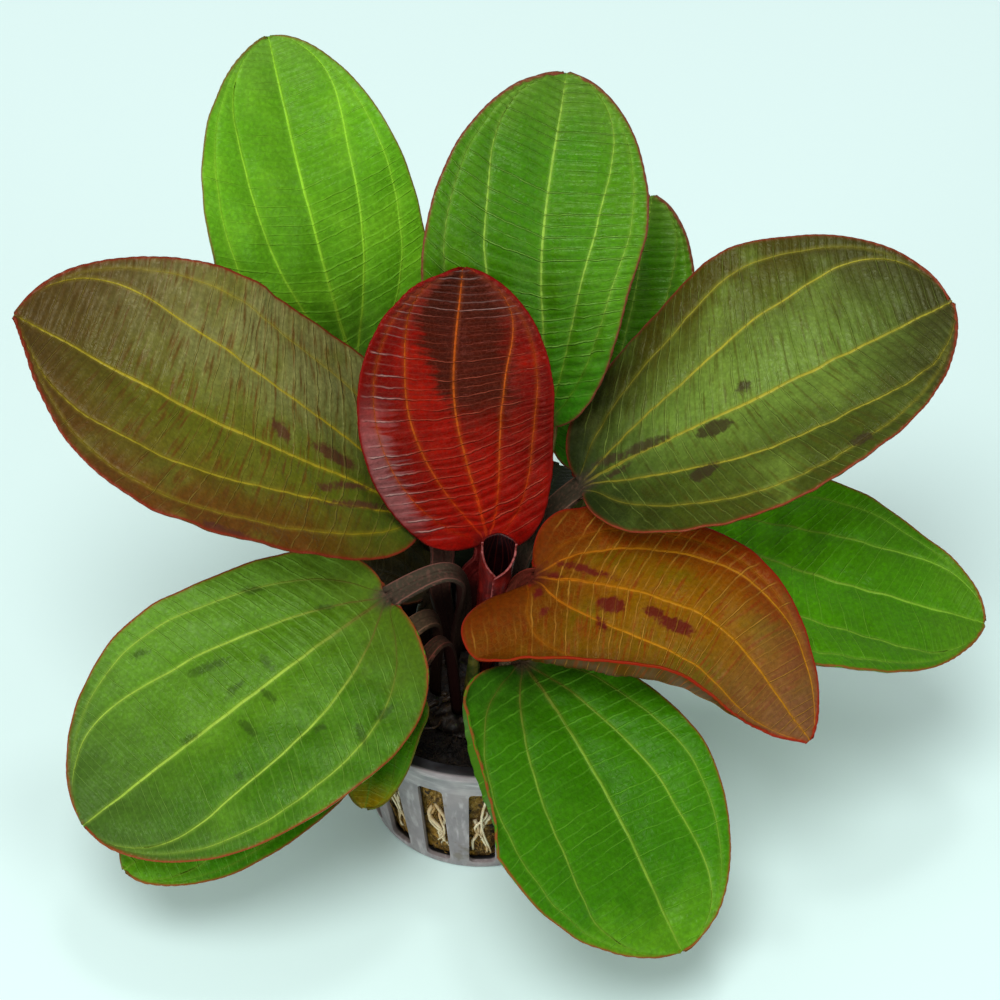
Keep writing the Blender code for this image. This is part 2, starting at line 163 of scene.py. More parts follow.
LEAVES = (
    Leaf(
        "leaf_front_left", "green_front", (-5, -1.8), width=(24.5, 23.0), face=(0.1, -0.25, 1.0),
        spine=((-3.6, -1.2, 53), (-15.5, -5, 52), (-39, -21, 44), (-66.5, -35, 28)),
        widest=(0.45, 0.6), base=(2.2, 1.7), fold=(0.0, 6.0), cup=(0.0, 10.0), slant=(0.3, 0.3),
        blotches=(
            (0.8, 0.27, 1.4, 0.5, 36), (0.34, 0.15, 1.1, 0.4, 29), (0.38, 0.49, 3.0, 0.6, 18),
            (0.14, 0.36, 1.1, 0.5, 88), (0.12, 0.47, 1.8, 0.5, -13), (-0.08, 0.41, 1.4, 0.5, 81),
            (-0.18, 0.5, 1.6, 0.5, 81), (0.03, 0.64, 1.4, 0.5, 9), (0.76, 0.61, 1.2, 0.5, 10),
            (-0.5, 0.36, 0.8, 0.5, 17), (-0.74, 0.29, 1.4, 0.5, -73), (-0.78, 0.21, 1.5, 0.6, 0),
            (-0.44, 0.59, 0.5, 0.4, 0),
        ),
    ),
    Leaf(
        "leaf_front_right", "green_deep", (3, -9.5), width=(19.0, 25.0),
        spine=((4.5, -10.5, 38), (7.2, -12, 43), (21, -34, 35), (33.5, -54, 18)),
        widest=(0.52, 0.5), base=(1.5, 1.9), tip=(0.55, 0.62),
        curl=(0.0, 110.0), curl_from=0.84, curl_span=(0.03, 0.55), slant=(0.05, 0.2),
    ),
    Leaf(
        "leaf_right_orange", "orange", (4.8, -3.2), width=(16.0, 19.4), face=(0.05, -0.25, 1.0),
        spine=((6.6, -4.4, 43), (9.4, -3, 54.5), (37.6, -13.8, 56.2), (55, -28.5, 42)),
        widest=(0.25, 0.26), base=(2.4, 2.4), tip=(0.68, 0.95), fold=(3.0, -2.0), cup=(3.0, -12.0),
        curl=(0.0, 140.0), curl_from=0.78, lobe=(2.0, 18.5), slant=(0.2, 0.25), spread=(1.42, 1.0),
        blotches=(
            (0.18, 0.26, 2.3, 1.3, 0), (0.16, 0.39, 1.5, 0.8, 0), (0.22, 0.47, 3.0, 1.1, -3),
            (-0.15, 0.15, 3.4, 0.4, 8), (-0.06, 0.06, 0.8, 0.4, 0), (0.36, 0.03, 0.7, 0.4, -76),
            (0.5, 0.06, 0.7, 0.4, -50), (0.38, 0.25, 1.1, 0.5, 45),
        ),
    ),
    Leaf(
        "leaf_right_bronze", "bronze_right", (5, 1.8), width=(26.0, 22.5), face=(0.0, -0.3, 1.0),
        spine=((7, 7, 49), (17.5, 11, 63), (49, 14, 82), (80, 29, 89)),
        widest=(0.55, 0.42), base=(1.4, 1.5), tip=(0.5, 0.65), lobe=(1.5, 1.5), slant=(0.45, 0.35),
        blotches=(
            (0.1, 0.36, 2.9, 1.4, 10), (0.46, 0.31, 2.2, 1.4, -11), (-0.12, 0.46, 1.1, 0.7, 0),
            (-0.06, 0.18, 3.6, 0.7, 4), (-0.12, 0.10, 2.4, 0.6, 12), (0.10, 0.10, 1.6, 0.4, 0),
            (0.84, 0.62, 1.4, 0.9, 0),
        ),
    ),
    Leaf(
        "leaf_left_bronze", "bronze_left", (-5.2, 2.2), width=(21.5, 25.0), face=(0.0, -0.36, 1.0),
        spine=((-7, 3.8, 44), (-10.2, 11, 55.5), (-45, 6.5, 82.5), (-77, 16, 97)),
        widest=(0.5, 0.5), base=(1.5, 2.2), tip=(0.98, 0.5), lobe=(0.5, 3.0), slant=(0.25, 0.3),
        blotches=(
            (0.14, 0.25, 4.0, 0.9, 5), (0.14, 0.39, 1.8, 0.8, 25), (-0.28, 0.18, 4.6, 0.5, -19),
            (-0.08, 0.2, 3.4, 0.4, -19), (-0.2, 0.26, 1.3, 0.4, -19), (-0.96, 0.5, 1.2, 0.8, 0),
            (-0.96, 0.46, 1.6, 0.7, -4),
        ),
    ),
    Leaf(
        "leaf_centre_red", "red", (-2.4, 5.0), width=(16.5, 17.0), face=(0.0, -1.0, 0.3),
        spine=((-2.2, 7.2, 44), (1.2, 6.8, 54.4), (-4.2, 11, 82), (-2.8, 20, 104)),
        widest=(0.45, 0.55), base=(2.2, 1.7), lobe=(1.0, 3.0), slant=(0.15, 0.4),
    ),
    Leaf(
        "leaf_back_middle", "green_back", (2.2, 5.4), width=(20.3, 17.4), face=(0.0, -1.0, 0.6),
        spine=((6, 13.5, 48), (11.1, 18.9, 70.6), (10.4, 28.8, 100.2), (14.5, 49, 122.3)),
        widest=(0.45, 0.58), base=(2.2, 1.15), lobe=(3.0, 0.5), slant=(0.5, 0.15),
    ),
    Leaf(
        "leaf_back_left", "green_lime", (-5.6, 8.2), width=(18.9, 18.4), face=(0.3, -1.0, 0.6),
        spine=((-10, 20, 50), (-21.5, 30.2, 72.5), (-29.3, 41.2, 100.5), (-36, 60, 121.8)),
        widest=(0.42, 0.42), tip=(0.62, 0.55), slant=(0.4, 0.3),
    ),
    Leaf(
        "leaf_right_green", "green_right", (9.8, -1.5), width=(18.3, 22.0), face=(0.0, -0.15, 1.0),
        spine=((18, 7, 41), (28.5, 20.6, 45), (58.5, 5.2, 47), (87, 0, 41)),
        tip=(0.6, 0.6), slant=(0.6, 0.6),
    ),
    Leaf(
        "leaf_low_left", "green_deep", (-8.0, -4.4), width=(14.0, 16.0), face=(0.1, -0.2, 1.0),
        spine=((-8.5, -4, 46), (-22, -11, 37), (-38, -25, 31), (-60, -38, 20)),
        base=(1.6, 1.6), fold=(-4.0, -4.0), cup=(-10.0, -10.0),
    ),
    Leaf(
        "leaf_small_front", "green_small", (-4, -9.2), width=(7.0, 7.0), stalk=0.7, tip=(0.48, 0.48),
        lobe=(0.0, 0.0), spine=((-6, -8.5, 45), (-12, -14, 41), (-16.2, -22, 38), (-19.3, -31, 28)),
    ),
    Leaf(
        "leaf_back_right", "green_back", (9.3, 3.8), width=(12.0, 12.0), stalk=0.7,
        spine=((13.2, 13, 44), (19, 22.5, 56), (25.5, 38, 75), (30, 53, 93)),
    ),
    # Its right half and lobe are widened so that it also fills a dark gap of shade behind the stalks.
    Leaf(
        "leaf_old_left", "old", (-9.4, 3.6), width=(6.5, 10.0), stalk=0.7, lobe=(0.0, 6.5), base=(2.2, 3.0),
        spine=((-10, 5.5, 36), (-10, 7, 41), (-18.5, 9, 45), (-27, 11, 42)),
    ),
    # Near-black leaf in shade; its wide left half and lobe fill dark gaps of shade behind the stalks.
    Leaf(
        "leaf_old_back", "dark", (1, 9.8), width=(14.5, 9.0), stalk=0.7, lobe=(14.5, 5.0), base=(3.0, 2.6),
        spine=((3.5, 13.5, 35), (6.5, 18, 40), (11, 27, 44), (14.5, 37, 44)),
    ),
)


def tint(red, green, blue):
    """A display colour, 0 to 255 in each channel, as linear light."""
    shares = (red / 255.0, green / 255.0, blue / 255.0)
    return tuple(x / 12.92 if x <= 0.04045 else ((x + 0.055) / 1.055) ** 2.4 for x in shares)


@dataclass
class Look:
    """The finish of one kind of leaf. Colours go in as display colours and are kept as linear light."""

    slot: str
    middle: tuple  # of the blade, near the midrib
    outer: tuple  # near the margin
    base: tuple  # near the stalk
    tip: tuple
    fleck: tuple  # soft patches all over
    vein: tuple
    vein_base: tuple  # of the main veins near the stalk
    rung: tuple  # cross-veins
    margin: tuple
    blotch: tuple
    stalk: tuple
    stalk_edge: tuple
    under: tuple
    sheen: tuple = (0.75, 1.0, 0.55)  # hue of the reflections
    spacing: float = 2.0  # between cross-veins
    rung_share: float = 0.45  # how far the cross-veins' colour covers the blade's
    rung_height: float = 0.10
    outer_veins: float = 0.8  # how plain the outer laterals are
    margin_width: float = 0.3
    blotch_share: float = 0.9  # how dark the blotches are
    streaks: float = 0.3  # of the outer colour, along the cross-veins
    tip_from: float = 0.74
    base_to: float = 0.36
    flecks: float = 0.7  # how plain the soft patches are
    # The cast is a real tone on most leaves; on the left bronze leaf it is painted sheen.
    cast: tuple = (0.0, 0.0, 0.0)  # a colour over one half
    cast_side: float = 1.0  # 1 for the right half, -1 for the left
    cast_share: float = 0.0
    roughness: float = 0.30
    gloss: float = 0.15

    def __post_init__(self):
        for part in LEAF_COLOURS:
            setattr(self, part, tint(*getattr(self, part)))


LEAF_COLOURS = (
    "middle", "outer", "base", "tip", "fleck", "vein", "vein_base", "rung", "margin", "blotch", "stalk",
    "stalk_edge", "under", "cast",
)
LOOKS = {
    # Front left leaf: its outer colour is partly painted sheen, a lighter and greyer green on the upper
    # half.
    "green_front": Look(
        "leaf_green", (72, 116, 14), (92, 138, 36), (66, 88, 8), (60, 90, 28),
        (96, 142, 36), (156, 188, 66), (84, 82, 26), (124, 164, 66), (128, 56, 28),
        (36, 54, 14), (54, 44, 36), (110, 70, 62), (96, 124, 60), spacing=1.9,
        rung_share=0.28, rung_height=0.15, blotch_share=0.6, tip_from=0.6, gloss=0.15, flecks=0.4,
        cast=(52, 98, 6), cast_side=-1.0, cast_share=0.9,
    ),
    "green_deep": Look(
        "leaf_green", (48, 106, 2), (54, 116, 4), (36, 78, 4), (82, 138, 18),
        (58, 118, 6), (120, 160, 46), (92, 96, 28), (100, 164, 40), (126, 66, 28),
        (34, 56, 10), (84, 68, 50), (150, 108, 84), (58, 98, 20), spacing=2.3,
        rung_share=0.45, rung_height=0.12, margin_width=0.25, blotch_share=0.5, gloss=0.12,
    ),
    # Right green leaf: its bright base colour, reaching far up the blade, is painted light that lifts the
    # shadow cast by the right bronze leaf.
    "green_right": Look(
        "leaf_green", (64, 126, 4), (62, 116, 6), (110, 214, 14), (72, 122, 14),
        (58, 116, 6), (132, 182, 50), (110, 150, 40), (112, 176, 44), (126, 66, 28),
        (34, 56, 10), (64, 50, 34), (120, 86, 60), (92, 128, 50), spacing=2.3,
        rung_share=0.50, rung_height=0.14, margin_width=0.25, base_to=0.75,
    ),
    "green_small": Look(
        "leaf_green", (60, 116, 8), (66, 122, 8), (46, 90, 12), (136, 112, 6),
        (76, 124, 12), (100, 136, 34), (76, 98, 28), (90, 136, 40), (96, 84, 26),
        (40, 50, 14), (46, 26, 18), (104, 50, 42), (92, 110, 50), spacing=1.6,
        rung_share=0.2, rung_height=0.05, margin_width=0.2,
    ),
    "green_back": Look(
        "leaf_green", (59, 118, 5), (74, 130, 13), (42, 114, 1), (82, 124, 29),
        (72, 122, 12), (150, 190, 68), (92, 134, 18), (124, 172, 66), (116, 50, 40),
        (34, 52, 12), (80, 84, 36), (120, 92, 60), (84, 126, 40), spacing=2.4,
        rung_share=0.55, rung_height=0.5, streaks=0.5, gloss=0.22, cast=(42, 92, 2),
        cast_side=-1.0, cast_share=0.45,
    ),
    "green_lime": Look(
        "leaf_green", (84, 142, 20), (90, 154, 22), (34, 66, 2), (96, 146, 40),
        (112, 172, 32), (146, 206, 48), (104, 138, 26), (132, 190, 54), (112, 90, 40),
        (40, 70, 14), (80, 92, 36), (130, 104, 70), (100, 150, 50), spacing=1.9,
        rung_share=0.25, rung_height=0.14, margin_width=0.22,
    ),
    # Left bronze leaf: its cast, grey green over the right half, is painted sheen.
    "bronze_left": Look(
        "leaf_bronze", (92, 96, 18), (94, 56, 14), (56, 80, 6), (72, 54, 20),
        (100, 102, 30), (164, 148, 36), (172, 150, 20), (138, 124, 54), (116, 36, 18),
        (78, 40, 30), (64, 40, 34), (110, 60, 52), (100, 76, 40), (1.0, 0.95, 0.65),
        spacing=2.8, rung_share=0.30, rung_height=0.22, outer_veins=0.35, margin_width=0.4,
        blotch_share=0.85, streaks=0.8, gloss=0.16, tip_from=0.45, cast=(130, 134, 78), cast_share=0.75,
    ),
    # Right bronze leaf: its middle colour is partly painted sheen, greyish green between the midrib and the
    # laterals.
    "bronze_right": Look(
        "leaf_bronze", (100, 126, 46), (66, 60, 10), (16, 28, 2), (54, 54, 20),
        (104, 128, 46), (164, 156, 48), (124, 116, 30), (134, 152, 66), (124, 44, 26),
        (52, 40, 24), (52, 44, 34), (110, 76, 62), (110, 100, 56), (0.9, 1.0, 0.65),
        spacing=2.4, rung_share=0.30, rung_height=0.24, outer_veins=0.6, blotch_share=0.85, streaks=0.6,
        gloss=0.16, tip_from=0.62, cast=(56, 70, 14), cast_share=0.75,
    ),
    # Orange leaf: its grey mauve tip colour is partly the leaf's browner end, partly painted sheen over the
    # far end.
    "orange": Look(
        "leaf_orange", (126, 82, 5), (120, 44, 5), (92, 34, 1), (106, 68, 42),
        (98, 88, 4), (176, 118, 18), (158, 90, 10), (172, 122, 44), (134, 30, 14),
        (84, 14, 16), (62, 20, 14), (110, 40, 32), (70, 50, 10), (1.0, 0.75, 0.35),
        spacing=2.1, rung_share=0.60, rung_height=0.20, outer_veins=0.25, streaks=0.75, gloss=0.10,
        flecks=0.8, tip_from=0.48, cast=(92, 78, 4), cast_share=0.6,
    ),
    # Red leaf: its greyish brown tip colour is partly painted sheen, and its pale pink cross-vein colour is
    # partly painted highlight on the ridges.
    "red": Look(
        "leaf_red", (132, 10, 2), (96, 6, 3), (140, 8, 2), (84, 38, 26),
        (148, 22, 6), (176, 80, 18), (180, 48, 10), (196, 96, 72), (112, 14, 10),
        (60, 16, 8), (80, 12, 12), (120, 46, 42), (130, 44, 40), (1.0, 0.32, 0.26),
        spacing=2.1, rung_share=0.30, rung_height=0.45, streaks=0.35, roughness=0.26, gloss=0.15,
    ),
    "old": Look(
        "leaf_dark", (48, 38, 14), (32, 26, 10), (40, 36, 16), (60, 48, 18),
        (96, 80, 26), (60, 50, 22), (50, 40, 20), (84, 70, 30), (80, 40, 24),
        (20, 16, 10), (40, 28, 18), (64, 44, 32), (60, 50, 30), spacing=1.4,
        rung_share=0.3, rung_height=0.08,
    ),
    # Painted shade: the low leaf at the back is coloured near black because it lies in shade.
    "dark": Look(
        "leaf_dark", (16, 24, 10), (20, 30, 10), (16, 18, 8), (30, 32, 14),
        (26, 34, 14), (36, 46, 20), (28, 32, 16), (36, 46, 22), (36, 24, 14),
        (14, 14, 8), (38, 30, 22), (58, 44, 36), (40, 48, 30), spacing=1.6,
        rung_share=0.3, rung_height=0.08,
    ),
}


# Settings, one group for each operator

def length(name, description, millimetres):
    return bpy.props.FloatProperty(
        name=name, description=description, default=millimetres * MM, unit="LENGTH", subtype="DISTANCE",
        precision=5,
    )


def power(name, description, watts):
    return bpy.props.FloatProperty(name=name, description=description, default=watts, unit="POWER")


def number(name, description, default, least=0):
    return bpy.props.IntProperty(name=name, description=description, default=default, min=least)


class StageSettings(bpy.types.PropertyGroup):
    """Camera, light and floor."""

    elevation: bpy.props.FloatProperty(
        name="Camera elevation", description="How far above level the camera stands",
        default=math.radians(43.0), subtype="ANGLE",
    )
    distance: length("Camera distance", "From the camera to the middle of the picture", 600.0)
    aim: bpy.props.FloatVectorProperty(
        name="Aim", description="The point in the middle of the picture",
        default=(0.0034, 0.0, 0.0703), unit="LENGTH", subtype="TRANSLATION",
    )
    lens: bpy.props.FloatProperty(
        name="Focal length", description="Of the camera, on a 36 mm sensor", default=129.2, unit="CAMERA",
    )
    key_power: power("Overhead light", "Power of the large soft light above and in front", 20.0)
    fill_power: power("Fill light", "Power of the soft low light at the left", 10.0)
    right_power: power("Right light", "Power of the soft low light at the right", 4.0)
    crisp_power: power("Small light", "Power of the small light above that gives the gloss", 2.5)
    sky: bpy.props.FloatProperty(
        name="Surroundings", description="Strength of the plain surroundings", default=0.36,
    )


class PotSettings(bpy.types.PropertyGroup):
    """Net pot."""

    steps: number("Steps", "Faces round the pot", 144, 48)
    edge: length("Edge rounding", "Radius of the moulded edges", 0.22)
    slot_corner: length("Slot corner", "Radius of the slots' corners", 0.9)


class MediumSettings(bpy.types.PropertyGroup):
    """Growing medium."""

    steps: number("Steps", "Faces round the plug", 220, 24)
    lumps: length("Lumps", "How far the wool's surface stands in and out", 0.7)
    fibres: number("Fibres", "Loose strands on the wool's surface", 1500)
    fibre_radius: length("Fibre radius", "Radius of a strand of wool", 0.07)


class RootSettings(bpy.types.PropertyGroup):
    """Roots."""

    wall_roots: number("Roots at the wall", "Roots that show in the pot's slots", 64)
    top_roots: number("Roots at the top", "Roots that lie on the plug round the crown", 12)
    radius: length("Root radius", "Radius of a thick root", 0.42)


class CrownSettings(bpy.types.PropertyGroup):
    """Crown."""

    lumps: length("Lumps", "How far the crown's surface stands in and out", 0.8)
    steps: number("Steps", "Faces round the stem", 144, 24)
    stubs: number("Root stubs", "Short brown root ends on the crown", 26)


class LeafSettings(bpy.types.PropertyGroup):
    """Leaves."""

    thickness: length("Blade thickness", "Thickness of a blade between its veins", 0.42)
    row_step: length("Row spacing", "Between the mesh's rows along a blade", 0.36)
    lane_columns: number("Columns", "Mesh columns between two main veins", 13, 3)
    puff: length("Puff", "How far the blade swells between its main veins", 0.55)
    pillow: length("Pillow", "How far it swells between two cross-veins", 0.10)


class FurledSettings(bpy.types.PropertyGroup):
    """Young furled leaf."""

    wall: length("Thickness", "Thickness of the rolled blade", 0.36)
    rows: number("Rows", "Mesh rows along the leaf", 96, 8)
    columns: number("Columns", "Mesh columns across the leaf", 72, 12)


# Numbers and shapes

def blend(a, b, share):
    return a + (b - a) * share


def smooth(value, low, high):
    """0 up to low, 1 from high, and a smooth step between them."""
    share = np.clip((value - low) / (high - low), 0.0, 1.0)
    return share * share * (3.0 - 2.0 * share)


def bunched(x):
    """Shares from 0 to 1, drawn together towards both ends."""
    return 0.5 - 0.5 * np.cos(math.pi * x)


def unit(vectors):
    return vectors / np.linalg.norm(vectors, axis=-1, keepdims=True)


def ripple(points, size, seed, waves=9):
    """Smooth noise, about -1 to 1, at these points (rows of numbers), with features of this size."""
    rng = np.random.default_rng(seed)
    points = np.asarray(points, float)
    ways = unit(rng.normal(size=(waves, points.shape[-1]))) * (TURN / size)
    ways *= rng.uniform(0.6, 1.5, (waves, 1))
    leads = rng.uniform(0.0, TURN, waves)
    return np.sin(points @ ways.T + leads).sum(-1) / math.sqrt(waves)


def crown_height(radius):
    """The top of the domed crown at this distance from the axis."""
    low = MEDIUM_TOP + GAP
    return blend(low, CROWN_TOP, np.sqrt(np.maximum(1.0 - (radius / CROWN_RADIUS) ** 2, 0.0)))


def wall_radius(height):
    """The outside of the pot's tapering wall."""
    return blend(POT_BASE_RADIUS, POT_TOP_RADIUS, height / (POT_HEIGHT - POT_LIP_DEPTH))


def around(radii, turns, heights):
    """Points at these distances from the pot's axis, turns round it and heights."""
    return np.stack([radii * np.cos(turns), radii * np.sin(turns), heights], 1)


# Finishes

class Finish:
    """A material in the making: its shader, and the colour that has been laid on so far.

    Each method that adds a node returns its output socket.
    """

    def __init__(self, name, colour):
        self.material = bpy.data.materials.new(name)
        self.material.use_nodes = True
        self.tree = self.material.node_tree
        self.shader = self.tree.nodes["Principled BSDF"]
        self.place = self.tree.nodes.new("ShaderNodeTexCoord").outputs["Object"]
        self.colour = colour

    def done(self, roughness, gloss, sheen=(1.0, 1.0, 1.0)):
        """Sets the shader: the colour laid on, the roughness, the strength and the hue of reflections."""
        for name, value in (
            ("Base Color", self.colour), ("Roughness", roughness), ("Specular IOR Level", gloss),
            ("Specular Tint", sheen),
        ):
            self.plug(self.shader.inputs[name], value)
        return self.material

    def plug(self, socket, value):
        """Gives an input a socket, a number or a colour."""
        if isinstance(value, bpy.types.NodeSocket):
            self.tree.links.new(value, socket)
        elif isinstance(value, tuple) and socket.type == "RGBA":
            socket.default_value = (*value, 1.0)
        else:
            socket.default_value = value

    def node(self, kind, *values, **choices):
        """A node with these choices made, and these values on its first inputs."""
        made = self.tree.nodes.new("ShaderNode" + kind)
        for name, choice in choices.items():
            setattr(made, name, choice)
        for socket, value in zip(made.inputs, values):
            self.plug(socket, value)
        return made

    def math(self, operation, *values):
        return self.node("Math", *values, operation=operation).outputs[0]

    def times(self, a, b):
        return self.math("MULTIPLY", a, b)

    def add(self, value, share, base):
        """The value times the share, added to the base."""
        return self.math("MULTIPLY_ADD", value, share, base)

    def step(self, value, low, high, start=0.0, end=1.0):
        """A smooth step from start at low to end at high."""
        node = self.node("MapRange", value, low, high, start, end, interpolation_type="SMOOTHSTEP")
        return node.outputs[0]

    def mix(self, share, a, b):
        node = self.node("Mix", share, data_type="RGBA")
        self.plug(node.inputs[6], a)
        self.plug(node.inputs[7], b)
        return node.outputs[2]

    def coat(self, share, colour):
        """Lays another colour over the colour so far."""
        self.colour = self.mix(share, self.colour, colour)

    def noise(self, size, detail=2.0, place=None, stretch=None):
        """Noise from 0 to 1 with features of this size in millimetres."""
        place = place or self.place
        if stretch:
            place = self.node("VectorMath", place, stretch, operation="MULTIPLY").outputs[0]
        node = self.node("TexNoise", place)
        node.inputs["Scale"].default_value = 1.0 / (size * MM)
        node.inputs["Detail"].default_value = detail
        return node.outputs[0]

    def stir(self, value, size, detail, share):
        """The value with this share of noise added."""
        return self.add(self.noise(size, detail), share, value)

    def patches(self, size, detail, low, high, share=1.0):
        """Soft patches of noise: 0 where it is below low, up to the share where it is above high."""
        return self.step(self.noise(size, detail), low, high, 0.0, share)

    def cells(self, size):
        """Distance from the edge of the nearest cell, for cells of this size in millimetres."""
        node = self.node("TexVoronoi", self.place, feature="DISTANCE_TO_EDGE")
        node.inputs["Scale"].default_value = 1.0 / (size * MM)
        return node.outputs["Distance"]

    def chance(self, value):
        """A random number from 0 to 1 that is the same wherever the value is."""
        node = self.node("TexWhiteNoise", noise_dimensions="1D")
        self.plug(node.inputs["W"], value)
        return node.outputs["Value"]

    def split(self, vector):
        """The three numbers of a vector."""
        return tuple(self.node("SeparateXYZ", vector).outputs)

    def attribute(self, name):
        """The three numbers of a mesh attribute, then the attribute itself."""
        vector = self.node("Attribute", attribute_name=name).outputs["Vector"]
        return *self.split(vector), vector

    def bump(self, height):
        """A bump from a height in millimetres."""
        node = self.node("Bump")
        node.inputs["Strength"].default_value = 1.0
        node.inputs["Distance"].default_value = MM
        self.plug(node.inputs["Height"], height)
        self.plug(self.shader.inputs["Normal"], node.outputs[0])


def leaf_veins(finish, look):
    """A blade's pattern: its coordinates, then main veins, cross-veins and fine net, each 0 to 1."""
    across, along, plain, _ = finish.attribute("leaf_place")
    vein_gap, margin_gap, blotch_gap, _ = finish.attribute("leaf_gaps")
    ladder, sideways, opened, net = finish.attribute("leaf_net")
    wobble = finish.stir(finish.stir(ladder, 3.2, 2.0, 0.42), 0.9, 1.0, 0.07)
    strong = finish.step(finish.chance(finish.math("ROUND", wobble)), 0.1, 0.8, 0.15, 1.0)
    near = finish.math("PINGPONG", wobble, 0.5)
    line = finish.step(near, 0.24 / look.spacing, 0.06 / look.spacing)
    patchy = finish.step(finish.noise(4.0), 0.36, 0.60, 0.25, 1.0)
    half = finish.math("PINGPONG", finish.math("ADD", wobble, 0.5), 0.5)
    weak = finish.times(finish.step(half, 0.09, 0.02), finish.patches(2.4, 2.0, 0.48, 0.68))
    cells = finish.cells(0.95)
    fine = finish.math("MAXIMUM", weak, finish.step(cells, 0.10, 0.0, 0.0, 0.5))
    return SimpleNamespace(
        across=across, along=along, vein_gap=vein_gap, margin_gap=margin_gap, blotch_gap=blotch_gap,
        sideways=sideways, opened=opened, cells=cells,
        rung=finish.times(finish.times(line, strong), finish.times(patchy, opened)),
        fine=finish.times(fine, opened),
        main=finish.times(finish.step(vein_gap, 0.09, -0.06), plain),
        streaks=finish.noise(0.9, 3.0, place=net, stretch=(look.spacing * MM, 0.16 * MM, 0.0)),
    )


def stalk_share(finish, v):
    """1 on the stalk, fading out beside the main vein where the blade begins."""
    low = finish.step(v.along, 0.09, 0.0)
    ragged = finish.stir(v.sideways, 1.2, 2.0, 1.6)
    beside = finish.times(low, finish.step(ragged, 4.2, 2.2))
    return finish.math("MAXIMUM", beside, finish.step(v.along, 0.0, -0.01))


def shaded_stalk(finish, along, colour):
    """A stalk's colour with painted shade: near black towards the crown, where the stalks go down into
    shade.
    """
    return finish.mix(finish.step(along, -0.28, -0.56, 0.0, 0.93), colour, tint(30, 13, 12))


def streaky_across(finish, v, share):
    """The place across the blade, with streaks along the cross-veins in its contours."""
    return finish.add(finish.math("SUBTRACT", v.streaks, 0.5), share, v.across)


def dark_zone(finish, v):
    """The dark upper middle of the red leaf: right of the midrib, and left of it further up."""
    waver = finish.math("SUBTRACT", finish.noise(2.0, 3.0), 0.5)
    waver = finish.add(waver, 0.15, streaky_across(finish, v, 0.45))
    further_up = finish.step(v.along, 0.38, 0.92, 0.0, 0.62)
    left = finish.step(finish.math("ADD", waver, further_up), -0.06, 0.10)
    right = finish.step(waver, 0.80, 0.44)
    low = finish.step(finish.stir(v.along, 3.0, 3.0, 0.14), 0.40, 0.62)
    return finish.times(finish.times(left, right), low)


def painted_sheen_margin(finish, v):
    """Painted sheen: a dull pink reflection laid along the lower left margin of the red leaf."""
    span = finish.times(finish.step(v.along, 0.10, 0.22), finish.step(v.along, 0.60, 0.40))
    return finish.times(finish.step(streaky_across(finish, v, 0.8), -0.62, -0.86), span)


